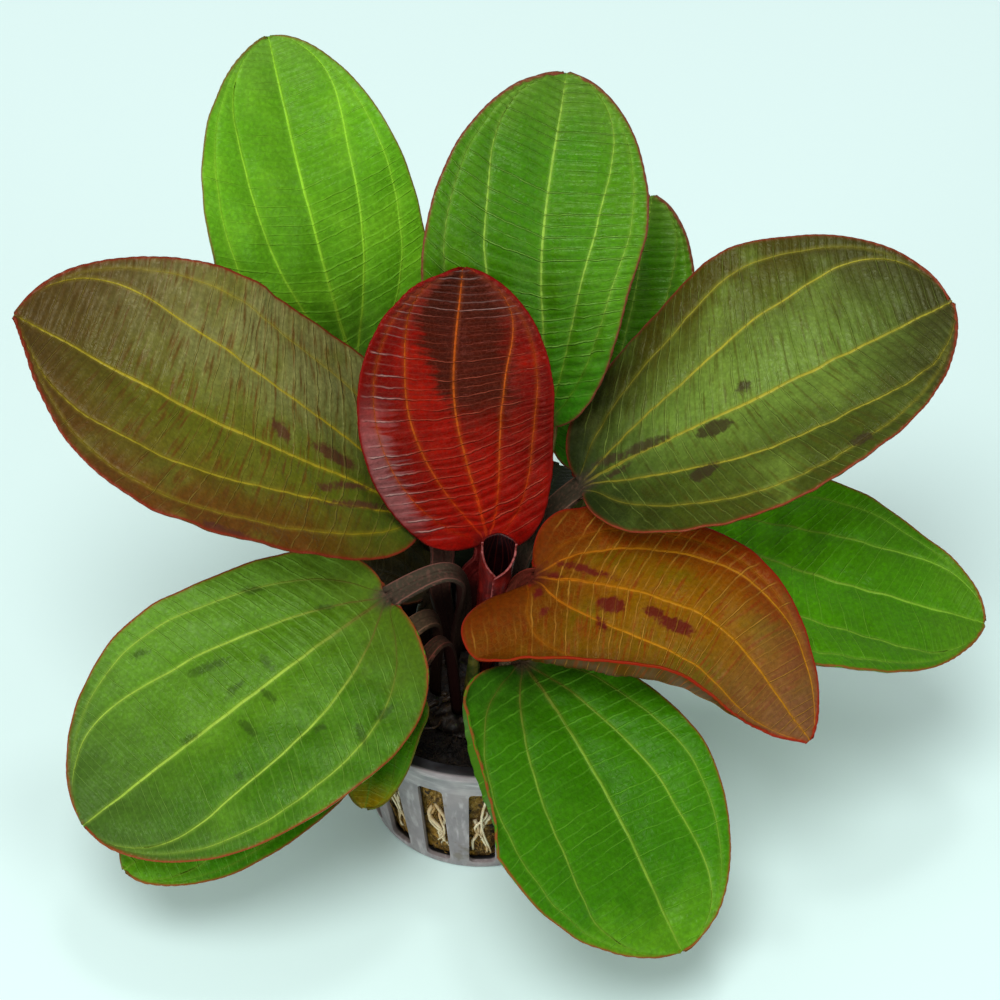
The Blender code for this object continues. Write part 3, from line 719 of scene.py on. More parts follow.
def leaf_finish(name, look, dark_centre):
    """The upper side of a leaf."""
    finish = Finish(name, look.middle)
    v = leaf_veins(finish, look)

    # The blade's broad colours
    reach = finish.math("ABSOLUTE", v.across)
    finish.coat(finish.step(reach, 0.15, 0.90), look.outer)
    one_side = finish.stir(finish.times(v.across, look.cast_side), 5.0, 3.0, 0.4)
    # A colour over one half: a real tone, and on the left bronze leaf painted sheen.
    finish.coat(finish.step(one_side, 0.15, 0.75, 0.0, look.cast_share), look.cast)
    finish.coat(finish.patches(9.0, 3.0, 0.45, 0.72, look.flecks), look.fleck)
    finish.coat(finish.step(v.streaks, 0.48, 0.70, 0.0, look.streaks), look.outer)
    waver = finish.stir(finish.math("SUBTRACT", v.along, 0.12), 4.0, 3.0, 0.24)
    finish.coat(finish.step(waver, look.base_to, 0.0, 0.0, 0.9), look.base)
    # Tip colour; on the red and the orange leaves it is partly painted sheen, a greyer tone towards the far
    # end.
    finish.coat(finish.step(waver, look.tip_from, 1.0), look.tip)
    if dark_centre:
        finish.coat(finish.times(dark_zone(finish, v), 0.94), tint(50, 15, 5))
        # Painted sheen: a pale pink reflection along the lower left margin.
        finish.coat(finish.times(painted_sheen_margin(finish, v), 0.7), tint(140, 88, 88))
    mottle = finish.step(finish.noise(0.8, 4.0), 0.3, 0.72, 0.85, 1.10)
    pebbles = finish.step(v.cells, 0.02, 0.30, 0.92, 1.05)
    bright = finish.node("VectorMath", finish.colour, operation="SCALE")
    finish.plug(bright.inputs["Scale"], finish.times(mottle, pebbles))
    finish.colour = bright.outputs[0]

    # Cross-veins, main veins, blotches, margin and stalk
    finish.coat(finish.times(v.fine, 0.35 * look.rung_share), look.rung)
    rung = look.rung
    # Painted highlight: on the red leaf the cross-veins turn whitish pink near the left margin and the tip,
    # as glints.
    if dark_centre:
        edge = finish.math("MAXIMUM", finish.step(v.across, -0.45, -0.75), finish.step(v.along, 0.80, 0.90))
        rung = finish.mix(edge, look.rung, tint(226, 196, 186))
    finish.coat(finish.times(v.rung, look.rung_share), rung)
    vein = finish.mix(finish.step(v.along, 0.08, 0.42), look.vein_base, look.vein)
    finish.coat(finish.times(finish.step(v.vein_gap, 0.7, 0.0), finish.times(v.opened, 0.18)), vein)
    worn = finish.step(finish.noise(3.0, 3.0), 0.3, 0.6, 0.6, 0.95)
    finish.coat(finish.times(v.main, worn), vein)
    ragged = finish.stir(v.blotch_gap, 0.7, 4.0, 1.4)
    blotch = finish.step(ragged, 1.25, 0.55, 0.0, look.blotch_share)
    finish.coat(finish.add(v.rung, -0.35, blotch), look.blotch)
    rim = finish.stir(v.margin_gap, 1.6, 3.0, 0.9 * look.margin_width)
    rim = finish.math("DIVIDE", rim, look.margin_width)
    finish.coat(finish.step(rim, 3.2, 1.0, 0.0, 0.30), look.margin)
    finish.coat(finish.step(rim, 1.6, 1.0, 0.0, 0.92), look.margin)
    fibres = finish.noise(0.6, 3.0, stretch=(1.0, 1.0, 0.3))
    stalk = finish.mix(finish.step(fibres, 0.45, 0.75, 0.0, 0.35), look.stalk, look.stalk_edge)
    stalk = finish.mix(finish.step(reach, 0.88, 0.97, 0.0, 0.9), stalk, look.stalk_edge)
    finish.coat(stalk_share(finish, v), shaded_stalk(finish, v.along, stalk))

    height = finish.times(v.rung, look.rung_height)
    height = finish.add(v.fine, 0.03, height)
    height = finish.add(finish.step(v.cells, 0.0, 0.35), 0.035, height)
    height = finish.add(finish.step(v.vein_gap, 0.25, -0.30), 0.14, height)
    finish.bump(finish.stir(height, 2.5, 2.0, 0.08))
    rough = finish.step(finish.noise(1.5, 3.0), 0.3, 0.7, look.roughness - 0.04, look.roughness + 0.10)
    rough = finish.math("ADD", rough, finish.step(v.along, 0.28, 0.08, 0.0, 0.35))
    return finish.done(rough, look.gloss, look.sheen)


def underside_finish(name, look):
    """The lower side of a leaf: paler and duller, with its veins standing out."""
    finish = Finish(name, look.under)
    v = leaf_veins(finish, look)
    paler = tuple(blend(a, 1.0, 0.03) for a in look.under)
    finish.coat(finish.patches(7.0, 3.0, 0.4, 0.7), paler)
    finish.coat(finish.step(v.streaks, 0.48, 0.70, 0.0, 0.5 * look.streaks), look.outer)
    finish.coat(finish.times(v.rung, 0.4), look.rung)
    finish.coat(finish.times(v.main, 0.8), look.vein)
    finish.coat(finish.step(v.margin_gap, 1.5 * look.margin_width, 0.8 * look.margin_width), look.margin)
    finish.coat(stalk_share(finish, v), shaded_stalk(finish, v.along, look.stalk))
    height = finish.times(finish.step(v.vein_gap, 0.35, -0.45), 0.3)
    height = finish.add(v.rung, look.rung_height, height)
    finish.bump(finish.stir(height, 0.6, 2.0, 0.04))
    return finish.done(0.5, 0.0)


def rim_finish(name, look):
    """The thin edge of a leaf."""
    finish = Finish(name, look.margin)
    along = finish.attribute("leaf_place")[1]
    finish.coat(finish.patches(1.5, 2.0, 0.35, 0.7), look.outer)
    stalk = finish.mix(finish.patches(0.8, 3.0, 0.48, 0.70, 0.7), look.stalk, look.stalk_edge)
    finish.coat(finish.step(along, 0.02, -0.02), shaded_stalk(finish, along, stalk))
    return finish.done(0.42, 0.12, look.sheen)


def plastic_finish():
    """Grey moulded plastic: pale streaks, brown film in places, and painted shade that makes the mouth and
    the inside dark.
    """
    finish = Finish("net_pot_plastic", tint(146, 138, 140))
    x, y, z = finish.split(finish.place)
    height = finish.math("DIVIDE", z, MM)
    out = finish.math("SQRT", finish.add(y, y, finish.times(x, x)))
    out = finish.math("DIVIDE", out, MM)
    round_it = finish.noise(1.1, 4.0, stretch=(0.14, 0.14, 1.0))
    down_it = finish.noise(1.1, 4.0, stretch=(1.0, 1.0, 0.2))
    band = POT_HEIGHT - POT_BAND_DEPTH
    upper = finish.step(height, band - 0.5, band + 0.5)
    streaks = finish.add(finish.math("SUBTRACT", round_it, down_it), upper, down_it)
    finish.coat(finish.patches(6.0, 4.0, 0.35, 0.7), tint(172, 160, 160))
    finish.coat(finish.step(streaks, 0.50, 0.74, 0.0, 0.7), tint(226, 216, 216))
    finish.coat(finish.step(streaks, 0.42, 0.26, 0.0, 0.4), tint(104, 96, 100))
    film = finish.times(finish.patches(2.4, 4.0, 0.58, 0.74, 0.65), finish.step(height, 24.0, 20.0))
    finish.coat(film, tint(112, 92, 54))
    finish.coat(finish.step(upper, 1.0, 0.0, 0.0, 0.40), tint(96, 88, 90))
    # Painted shade: the lip's top and the inside of the wall are dark grey to near black, as they lie in
    # the leaves' shade.
    lip = finish.step(out, POT_RIM_RADIUS - 0.1, POT_RIM_RADIUS - 0.7)
    mouth = finish.times(lip, finish.step(height, 28.2, 28.7))
    inner = finish.step(finish.math("SUBTRACT", out, finish.times(height, 0.168)), 19.1, 18.8)
    dark = finish.math("MAXIMUM", mouth, finish.times(inner, finish.step(height, 0.8, 1.3)))
    finish.coat(dark, finish.mix(finish.step(round_it, 0.5, 0.8), tint(30, 30, 32), tint(66, 66, 70)))
    finish.bump(finish.stir(finish.times(finish.noise(0.35), 0.02), 4.0, 2.0, 0.08))
    return finish.done(finish.step(finish.noise(2.0, 3.0), 0.3, 0.7, 0.28, 0.5), 0.4)


def wool_finish(name, dark, brown, pale):
    """Wet mineral wool: near black on top, golden brown behind the slots."""
    finish = Finish(name, dark)
    lumps = finish.noise(2.2, 4.0)
    strands = finish.noise(0.5, 4.0, stretch=(1.0, 1.0, 0.5))
    finish.coat(finish.step(lumps, 0.42, 0.72, 0.0, 0.8), brown)
    finish.coat(finish.step(strands, 0.58, 0.78, 0.0, 0.5), pale)
    side = finish.mix(finish.step(lumps, 0.36, 0.60), tint(84, 58, 16), tint(150, 112, 36))
    side = finish.mix(finish.step(strands, 0.52, 0.68, 0.0, 0.8), side, tint(190, 150, 84))
    side = finish.mix(finish.patches(1.3, 3.0, 0.56, 0.66), side, tint(26, 18, 12))
    low = finish.step(finish.split(finish.place)[2], 23.5 * MM, 21.5 * MM)
    finish.coat(low, side)
    finish.bump(finish.stir(finish.times(strands, 0.35), 1.4, 3.0, 0.5))
    return finish.done(0.7, 0.3)


def root_finish(name, pale, brown, dark):
    """Roots, browner in places."""
    finish = Finish(name, pale)
    finish.coat(finish.patches(5.0, 3.0, 0.40, 0.68), brown)
    finish.coat(finish.patches(0.8, 3.0, 0.55, 0.75, 0.6), dark)
    finish.bump(finish.times(finish.noise(0.5), 0.08))
    return finish.done(0.45, 0.5)


def crown_finish():
    """The crown's skin: near-black brown, with faint fibres and a little green tissue."""
    finish = Finish("crown_skin", tint(26, 20, 17))
    fibres = finish.noise(0.6, 4.0, stretch=(1.0, 1.0, 0.3))
    finish.coat(finish.patches(3.5, 3.0, 0.42, 0.66), tint(52, 38, 24))
    finish.coat(finish.step(fibres, 0.56, 0.74, 0.0, 0.6), tint(96, 70, 44))
    finish.coat(finish.patches(2.6, 2.0, 0.66, 0.78, 0.6), tint(84, 92, 34))
    finish.bump(finish.times(fibres, 0.3))
    return finish.done(0.55, 0.35)


def bud_finish():
    """The yellow-green bud beside the stalks."""
    finish = Finish("bud_skin", tint(66, 78, 26))
    finish.coat(finish.patches(1.4, 3.0, 0.4, 0.65), tint(124, 116, 44))
    finish.bump(finish.times(finish.noise(0.5), 0.06))
    return finish.done(0.45, 0.3)


def furled_finish(name, body, bright):
    """The furled leaf: dark red, with fine ribs and an uneven pale pink edge."""
    finish = Finish(name, body)
    across = finish.attribute("leaf_place")[0]
    finish.coat(finish.patches(2.5, 3.0, 0.4, 0.68), bright)
    ribs = finish.math("PINGPONG", finish.times(across, 6.0), 0.5)
    finish.coat(finish.step(ribs, 0.10, 0.02, 0.0, 0.14), tint(150, 50, 36))
    ragged = finish.stir(finish.math("ABSOLUTE", across), 0.8, 3.0, 0.16)
    finish.coat(finish.step(ragged, 1.05, 1.10, 0.0, 0.7), tint(170, 92, 88))
    finish.bump(finish.times(finish.noise(0.6), 0.05))
    return finish.done(0.34, 0.2)


def floor_finish():
    """Plain pale floor."""
    return Finish("plain_floor", tint(225, 250, 247)).done(0.9, 0.1)


# Pieces

def place_piece(name, mesh, materials, nodes):
    """Makes the piece's object, at the origin, riding the body, in place of its CAD nodes."""
    for made in materials:
        mesh.materials.append(made)
    mesh.shade_smooth()
    piece = bpy.data.objects.new(name, mesh)
    bpy.context.scene.collection.objects.link(piece)
    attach(piece, "root")
    if nodes:
        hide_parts(*nodes)
    return piece


def mesh_points(mesh):
    """The mesh's points, in millimetres."""
    flat = np.empty(len(mesh.vertices) * 3, np.float32)
    mesh.vertices.foreach_get("co", flat)
    return flat.reshape(-1, 3).astype(float) / MM


def set_points(mesh, points):
    """Moves the mesh's points to these places, in millimetres."""
    mesh.vertices.foreach_set("co", (points * MM).astype(np.float32).ravel())


def grid_mesh(name, columns, rows):
    """A flat grid, with the row and the column of each of its points."""
    bm = bmesh.new()
    bmesh.ops.create_grid(bm, x_segments=columns - 1, y_segments=rows - 1, size=0.5)
    mesh = bpy.data.meshes.new(name)
    bm.to_mesh(mesh)
    bm.free()
    shares = mesh_points(mesh) * MM + 0.5
    row = np.rint(shares[:, 1] * (rows - 1)).astype(int)
    column = np.rint(shares[:, 0] * (columns - 1)).astype(int)
    return mesh, row, column


def add_attribute(mesh, name, values):
    """Three numbers for each point of the mesh."""
    made = mesh.attributes.new(name, "FLOAT_VECTOR", "POINT")
    made.data.foreach_set("vector", np.ascontiguousarray(values, np.float32).ravel())


def place_tubes(bm, name, material):
    """A piece that stands on a solid, and not in place of one."""
    place_piece(name, finish_mesh(bm, name), (material,), ())


def add_tube(bm, path, radii, sides):
    """A tube along a path of points, closed at both ends. Everything in millimetres."""
    path = np.asarray(path, float)
    forward = unit(np.gradient(path, axis=0))
    helper = np.array([0.0, 0.0, 1.0]) if abs(forward[:, 2]).mean() < 0.8 else np.array([1.0, 0.0, 0.0])
    right = unit(np.cross(forward, helper))
    up = np.cross(right, forward)
    rings = []
    for point, a, b, radius in zip(path, right, up, radii):
        ring = []
        for i in range(sides):
            turn = TURN * i / sides
            ring.append(bm.verts.new((point + radius * (math.cos(turn) * a + math.sin(turn) * b)) * MM))
        rings.append(ring)
    for low, high in zip(rings, rings[1:]):
        for i in range(sides):
            j = (i + 1) % sides
            bm.faces.new((low[i], low[j], high[j], high[i]))
    bm.faces.new(tuple(reversed(rings[0])))
    bm.faces.new(tuple(rings[-1]))


def finish_mesh(bm, name):
    """Turns the normals outward and makes the mesh."""
    bmesh.ops.recalc_face_normals(bm, faces=bm.faces)
    mesh = bpy.data.meshes.new(name)
    bm.to_mesh(mesh)
    bm.free()
    return mesh


def add_wall(piece, thickness):
    """Gives a sheet its thickness, with its second material below and its third round the rim."""
    wall = piece.modifiers.new("thickness", "SOLIDIFY")
    wall.thickness = thickness
    wall.offset = 0.0
    wall.material_offset = 1
    wall.material_offset_rim = 2
    return wall


def spun(profile, steps):
    """A bmesh of a closed profile of (radius, height) points turned about Z, in metres."""
    bm = bmesh.new()
    verts = [bm.verts.new((radius * MM, 0.0, height * MM)) for radius, height in profile]
    edges = [bm.edges.new(pair) for pair in zip(verts, verts[1:])]
    bmesh.ops.spin(
        bm, geom=verts + edges, cent=(0, 0, 0), axis=(0, 0, 1), angle=TURN, steps=steps,
        use_merge=True, use_duplicate=False,
    )
    bmesh.ops.remove_doubles(bm, verts=bm.verts, dist=1e-6)
    bmesh.ops.recalc_face_normals(bm, faces=bm.faces)
    return bm


# Leaves

def leaf_spine(leaf, places):
    """Points of the leaf's midline: place 0 is its foot, 2 the junction with the blade and 4 the tip."""
    x, y = leaf.foot
    inner = max(math.hypot(x, y) - STALK_THICKNESS, 0.0)
    foot = (x, y, float(crown_height(inner)) + GAP)
    knots = np.array([foot, *leaf.spine], float)
    knots = np.vstack([2.0 * knots[0] - knots[1], knots, 2.0 * knots[-1] - knots[-2]])
    start = np.clip(places.astype(int), 0, 3)
    x = (places - start)[:, None]
    a, b, c, d = (knots[start + i] for i in range(4))
    squared = 2.0 * a - 5.0 * b + 4.0 * c - d
    cubed = 3.0 * b - a - 3.0 * c + d
    return b + 0.5 * ((c - a) * x + squared * x**2 + cubed * x**3)


def leaf_axes(leaf, places):
    """Unit vectors along the leaf, to its right and out of its upper side."""
    step = 0.02
    ahead, behind = np.minimum(places + step, 4.0), np.maximum(places - step, 0.0)
    forward = unit(leaf_spine(leaf, ahead) - leaf_spine(leaf, behind))
    bend = leaf.spine[0]
    inward = unit(np.array([-bend[0], -bend[1], CHANNEL_RISE]))
    face = unit(np.array(leaf.face))
    look = inward + (face - inward) * np.clip(places / 2.0, 0.0, 1.0)[:, None]
    up = unit(look - (look * forward).sum(1, keepdims=True) * forward)
    return forward, np.cross(forward, up), up


def half_outline(t, widest, base, tip):
    """Half-width of a blade as a share of its widest, from the junction, t 0, to the tip, t 1."""
    near = np.sqrt(np.maximum(1.0 - (np.maximum(widest - t, 0.0) / widest) ** base, 0.0))
    far = np.maximum(1.0 - (np.maximum(t - widest, 0.0) / (1.0 - widest)) ** 2, 0.0) ** tip
    return np.where(t < widest, near, far)


def vein_shares(t, spread):
    """Where the inner and the outer lateral vein lie, as shares of a half's width."""
    start = smooth(t, 0.0, 0.08)
    inner = blend(0.15, spread * (0.06 + 0.80 * t / (t + 0.45)) + 0.22 * smooth(t, 0.6, 1.0), start)
    outer = blend(0.35, 0.12 + 0.86 * t / (t + 0.11), start)
    return np.minimum(inner, outer - 0.06), outer


def lane_columns(lane, inner, outer):
    """The columns of a half, as shares of its width: one row for each place along the blade."""
    edges = ((0.0 * inner, inner), (inner, outer), (outer, 0.0 * outer + 1.0))
    columns = [blend(a[:, None], b[:, None], lane[:-1]) for a, b in edges]
    return np.hstack(columns + [np.ones((len(inner), 1))])


def section(leaf, side, t, half_width, reach):
    """Sideways and upward places of a half's points, one row for each t, from its rolled section."""
    opened = np.clip(t / JOIN, 0.0, 1.0)[:, None]
    s = (np.arange(SECTION_STEPS) + 0.5) / SECTION_STEPS
    fold = blend(STALK_FOLD, leaf.fold[side], opened) * (1.0 - np.exp(-s * half_width[:, None] / 0.6))
    first, last = leaf.curl_span
    span = np.clip((t - first) / (last - first), 0.0, 1.0)
    curl = leaf.curl[side] * np.maximum(np.sin(math.pi * span), 0.0)[:, None] ** 0.7
    turned_up = np.clip(2.0 * (s - leaf.curl_from) / (1.0 - leaf.curl_from), 0.0, 1.0)
    angle = np.radians(fold + leaf.cup[side] * opened * s + curl * turned_up)
    step = half_width[:, None] / SECTION_STEPS
    start = np.zeros((len(t), 1))
    sideways = np.hstack([start, np.cumsum(np.cos(angle) * step, axis=1)])
    rise = np.hstack([start, np.cumsum(np.sin(angle) * step, axis=1)])
    low = np.minimum((reach * SECTION_STEPS).astype(int), SECTION_STEPS - 1)
    share = reach * SECTION_STEPS - low
    row = np.arange(len(t))[:, None]
    return (
        blend(sideways[row, low], sideways[row, low + 1], share),
        blend(rise[row, low], rise[row, low + 1], share),
    )


def blotch_gap(leaf, across_mm, along_mm, half_widths, length, t):
    """Millimetres from the nearest blotch's edge, negative inside it."""
    gap = np.full(across_mm.shape, 9.0)
    for across, along, half_length, half_width, turn in leaf.blotches:
        side = 1 if across > 0 else 0
        x0 = across * np.interp(along, t, half_widths[side])
        c, s = math.cos(math.radians(turn)), math.sin(math.radians(turn))
        x, y = across_mm - x0, along_mm - along * length
        u = (c * y + s * x) / half_length
        v = (c * x - s * y) / half_width
        gap = np.minimum(gap, (np.hypot(u, v) - 1.0) * min(half_length, half_width))
    return gap


def nearest(points, line):
    """Distance of each point to the nearest of a dense line's points."""
    flat = points.reshape(-1, 3)
    gaps = np.empty(len(flat))
    squares = (line**2).sum(1)
    for start in range(0, len(flat), 4000):
        part = flat[start:start + 4000]
        squared = (part**2).sum(1)[:, None] + squares - 2.0 * part @ line.T
        gaps[start:start + 4000] = squared.min(1)
    return np.sqrt(np.maximum(gaps, 0.0)).reshape(points.shape[:-1])


def lay_rows(leaf, row_step):
    """The mesh's rows along a leaf: first those of the stalk, then the blade's, closer at its ends."""
    finely = leaf_spine(leaf, np.linspace(2.0, 4.0, 200))
    length = np.linalg.norm(np.diff(finely, axis=0), axis=1).sum()
    x = np.linspace(0.0, 1.0, int(length * MM / row_step) + 1)
    blade = 0.45 * x + 0.55 * bunched(x)
    places = np.concatenate([np.arange(STALK_ROWS) / STALK_ROWS * 2.0, 2.0 + 2.0 * blade])
    t = np.maximum(places - 2.0, 0.0) / 2.0
    midline = leaf_spine(leaf, places)
    forward, right, up = leaf_axes(leaf, places)
    along = np.concatenate([[0.0], np.cumsum(np.linalg.norm(np.diff(midline, axis=0), axis=1))])
    return SimpleNamespace(
        places=places, t=t, midline=midline, forward=forward, right=right, up=up,
        along=along - along[STALK_ROWS], opened=np.clip(t / JOIN, 0.0, 1.0),
    )


def lay_columns(leaf, t, count):
    """The mesh's columns across a leaf, from its left margin: closer at the main veins."""
    lane = np.linspace(0.0, 1.0, count + 1)
    lane = 0.5 * lane + 0.5 * bunched(lane)
    laterals = [vein_shares(t, spread) for spread in leaf.spread]
    halves = [lane_columns(lane, *both) for both in laterals]  # each main vein lies on a column
    lanes = np.concatenate([lane[:-1], lane[:-1], lane[:-1], [1.0]])
    middle = 3 * count
    signs = np.concatenate([-np.ones(middle), np.ones(middle + 1)])
    inner, outer = (np.where(signs < 0, laterals[0][i][:, None], laterals[1][i][:, None]) for i in (0, 1))
    return SimpleNamespace(
        count=count, middle=middle, signs=signs, inner=inner, outer=outer,
        lanes=np.hstack([lanes[:0:-1], lanes]), reach=np.hstack([halves[0][:, :0:-1], halves[1]]),
    )


def shape_leaf(leaf, rows, columns, seed):
    """The leaf's points before its relief, both halves' widths, and how far each point is set back."""
    t, along = rows.t, rows.along[:, None]
    stalk_width = leaf.stalk * blend(*STALK_WIDTH, np.clip(rows.places / 2.0, 0.0, 1.0))
    base_half = blend(stalk_width, TIP_WIDTH, t) / 2.0
    points = np.empty((len(t), len(columns.signs), 3))
    back = np.empty(columns.reach.shape)
    half_widths = []
    for side, half in ((0, slice(0, columns.middle)), (1, slice(columns.middle, None))):
        shape = half_outline(t, leaf.widest[side], leaf.base[side], leaf.tip[side]) * (t > 0.0)
        wobble = 1.0 + WOBBLE_SHARE * rows.opened * ripple(along, WOBBLE_SIZE, seed + side)
        half_width = np.hypot(leaf.width[side] * shape * wobble, base_half)
        half_widths.append(half_width)
        r = columns.reach[:, half]
        sideways, rise = section(leaf, side, t, half_width, r)
        lead = 0.0 if side else LEFT_WAVE_LEAD
        wave = leaf.wave * np.sin(TURN * MARGIN_WAVES * t + lead)
        flutter = FLUTTER_HEIGHT * ripple(along, FLUTTER_SIZE, seed + 5 + side)
        rise = rise + (rows.opened * wave)[:, None] * r**2 + (rows.opened * flutter)[:, None] * r**4
        back[:, half] = leaf.lobe[side] * r**2 * (1.0 - t[:, None]) ** 3 * shape[:, None] ** 0.7
        sideways = sideways * columns.signs[half]
        points[:, half] = (
            rows.midline[:, None] + sideways[..., None] * rows.right[:, None]
            + rise[..., None] * rows.up[:, None] - back[:, half][..., None] * rows.forward[:, None]
        )
    return points, half_widths, back


def edge_gaps(rows, columns, points, out_mm, width_mm):
    """Each point's distances from the edge of the nearest main vein and from the margin."""
    taper = 1.0 - VEIN_TAPER * rows.t
    gap = out_mm - (VEIN_HALVES[0] * taper)[:, None]
    margin = width_mm - out_mm
    middle, blade = columns.middle, slice(STALK_ROWS, None)
    for half, way, edge in ((slice(0, middle + 1), -1, 0), (slice(middle, None), 1, -1)):
        part = points[:, half]
        margin[blade, half] = nearest(part[blade], part[blade, edge])
        for step, half_vein in zip((columns.count, 2 * columns.count), VEIN_HALVES[1:]):
            vein = part[blade, step if way > 0 else middle - step]
            gap[:, half] = np.minimum(gap[:, half], nearest(part, vein) - half_vein * taper[:, None])
    return gap, margin


def cross_vein_count(leaf, look, rows, columns, here_mm, out_mm, width_mm):
    """A coordinate that grows by one from each cross-vein to the next."""
    slant = np.where(columns.signs < 0, leaf.slant[0], leaf.slant[1])[None, :]
    x1, x2 = columns.inner * width_mm, columns.outer * width_mm
    lead = 0.8 * np.minimum(out_mm, x1) + 1.2 * (np.clip(out_mm, x1, x2) - x1)
    lead = lead + 1.7 * np.maximum(out_mm - x2, 0.0)
    return (here_mm * (1.0 + 0.35 * (rows.t[:, None] - 0.4)) - slant * lead) / look.spacing


def relief(look, settings, rows, columns, points, ladder, width_mm, seed):
    """Swells the blade between its main veins and, less, between its cross-veins."""
    reach, inner, outer = columns.reach, columns.inner, columns.outer
    normals = np.cross(np.gradient(points, axis=1), np.gradient(points, axis=0))
    normals = unit(normals + 1e-12 * rows.up[:, None])
    x1, x2 = inner * width_mm, outer * width_mm
    lane_width = np.where(reach < inner, x1, np.where(reach < outer, x2 - x1, width_mm - x2))
    bell = np.sin(math.pi * columns.lanes)[None, :]
    puff = settings.puff / MM * np.clip(lane_width / FULL_PUFF_LANE, 0.0, 1.0) * bell**0.8
    puff = np.where(reach > outer, 0.4 * puff, puff)
    pillow = settings.pillow / MM * (look.rung_height / 0.10)
    pillow = pillow * (0.5 - 0.5 * np.cos(TURN * ladder)) * bell**0.4
    lumps = LUMP_HEIGHT * ripple(points, LUMP_SIZE, seed + 9)
    return ((rows.opened[:, None] * (puff + pillow + lumps))[..., None]) * normals


def leaf_thickness(settings, t, reach, out_mm):
    """Half round on the stalk, thin on the blade, more along the midrib."""
    stalk = STALK_THICKNESS * np.sqrt(np.maximum(1.0 - 0.86 * reach**2, 0.0))
    rib = RIB_HEIGHT * np.exp(-((out_mm / 0.8) ** 2)) * (1.0 - 0.8 * t[:, None])
    return blend(stalk, settings.thickness / MM + rib, smooth(t, 0.0, 0.10)[:, None])


def build_leaf(leaf, settings, seed):
    """The leaf's finished mesh object, in place of its CAD node."""
    look = LOOKS[leaf.look]
    rows = lay_rows(leaf, settings.row_step)
    columns = lay_columns(leaf, rows.t, settings.lane_columns)
    t, reach = rows.t, columns.reach
    points, half_widths, back = shape_leaf(leaf, rows, columns, seed)
    width_mm = np.where(columns.signs < 0, half_widths[0][:, None], half_widths[1][:, None])
    out_mm = reach * width_mm
    here_mm = rows.along[:, None] - back
    gap, margin = edge_gaps(rows, columns, points, out_mm, width_mm)
    ladder = cross_vein_count(leaf, look, rows, columns, here_mm, out_mm, width_mm)
    points += relief(look, settings, rows, columns, points, ladder, width_mm, seed)

    mesh, row, column = grid_mesh(leaf.name, reach.shape[1], reach.shape[0])
    set_points(mesh, points[row, column])
    across = reach * columns.signs[None, :]
    along = np.where(rows.places < 2.0, (rows.places - 2.0) / 2.0, t)[:, None] + 0.0 * reach
    blotch = blotch_gap(leaf, across * width_mm, here_mm, half_widths, rows.along[-1], t)
    fade = (smooth(rows.opened, 0.1, 1.0)[:, None]) * smooth(margin, 0.2, 1.4)
    plain = np.where(reach > 0.5 * (columns.inner + columns.outer), look.outer_veins, 1.0)
    for name, numbers in (
        ("leaf_place", (across, along, plain)),
        ("leaf_gaps", (gap, margin, blotch)),
        ("leaf_net", (ladder, out_mm, fade)),
    ):
        add_attribute(mesh, name, np.stack(numbers, -1)[row, column])

    materials = (
        leaf_finish(leaf.name + "_upper", look, leaf.look == "red"),
        underside_finish(leaf.name + "_under", look),
        rim_finish(leaf.name + "_edge", look),
    )
    piece = place_piece(leaf.name + "_grown", mesh, materials, (leaf.name,))
    group = piece.vertex_groups.new(name="thick")
    weights = (leaf_thickness(settings, t, reach, out_mm) / STALK_THICKNESS)[row, column]
    for index, weight in enumerate(weights.tolist()):
        group.add((index,), weight, "REPLACE")
    wall = add_wall(piece, STALK_THICKNESS * MM)
    wall.vertex_group = "thick"
    wall.thickness_vertex_group = 0.0
    return piece


# Operators

LIGHTS = (  # name, the setting of its power, then its width and its place in metres
    ("overhead_light", "key_power", 0.9, (-0.2, -0.75, 1.8)),
    ("left_light", "fill_power", 0.7, (-1.2, -0.95, 0.5)),
    ("small_light", "crisp_power", 0.25, (0.1, 0.3, 1.6)),
    ("right_light", "right_power", 0.6, (1.0, -0.95, 0.6)),
)


class SWORD_OT_stage(bpy.types.Operator):
    """Sets up the camera, the soft studio light and the plain floor"""

    bl_idname = "sword.stage"
    bl_label = "Stage"

    def execute(self, context):
        settings = context.scene.sword_stage
        scene = context.scene
        aim = Vector(settings.aim)
        back = Vector((0.0, -math.cos(settings.elevation), math.sin(settings.elevation)))
        camera = bpy.data.objects.new("camera", bpy.data.cameras.new("camera"))
        camera.data.lens = settings.lens
        camera.data.sensor_width = 36.0
        camera.data.dof.use_dof = False
        camera.location = aim + back * settings.distance
        camera.rotation_euler = (math.pi / 2.0 - settings.elevation, 0.0, 0.0)
        scene.collection.objects.link(camera)
        scene.camera = camera
        scene.view_settings.view_transform = "Standard"

        bm = bmesh.new()
        bmesh.ops.create_grid(bm, x_segments=1, y_segments=1, size=3.0)
        mesh = bpy.data.meshes.new("floor")
        bm.to_mesh(mesh)
        bm.free()
        mesh.materials.append(floor_finish())
        floor = bpy.data.objects.new("floor", mesh)
        scene.collection.objects.link(floor)

        key, fill, crisp, right = (
            self.area_light(name, getattr(settings, power), size, place, aim)
            for name, power, size, place in LIGHTS
        )

        world = bpy.data.worlds.new("studio")
        world.use_nodes = True
        shader = world.node_tree.nodes["Background"]
        shader.inputs["Color"].default_value = (1.0, 1.0, 1.0, 1.0)
        shader.inputs["Strength"].default_value = settings.sky
        scene.world = world
        return {"FINISHED"}

    def area_light(self, name, power, size, place, aim):
        light = bpy.data.lights.new(name, "AREA")
        light.energy = power
        light.shape = "DISK"
        light.size = size
        made = bpy.data.objects.new(name, light)
        made.location = place
        made.rotation_euler = (aim - Vector(place)).to_track_quat("-Z", "Y").to_euler()
        bpy.context.scene.collection.objects.link(made)
        return made


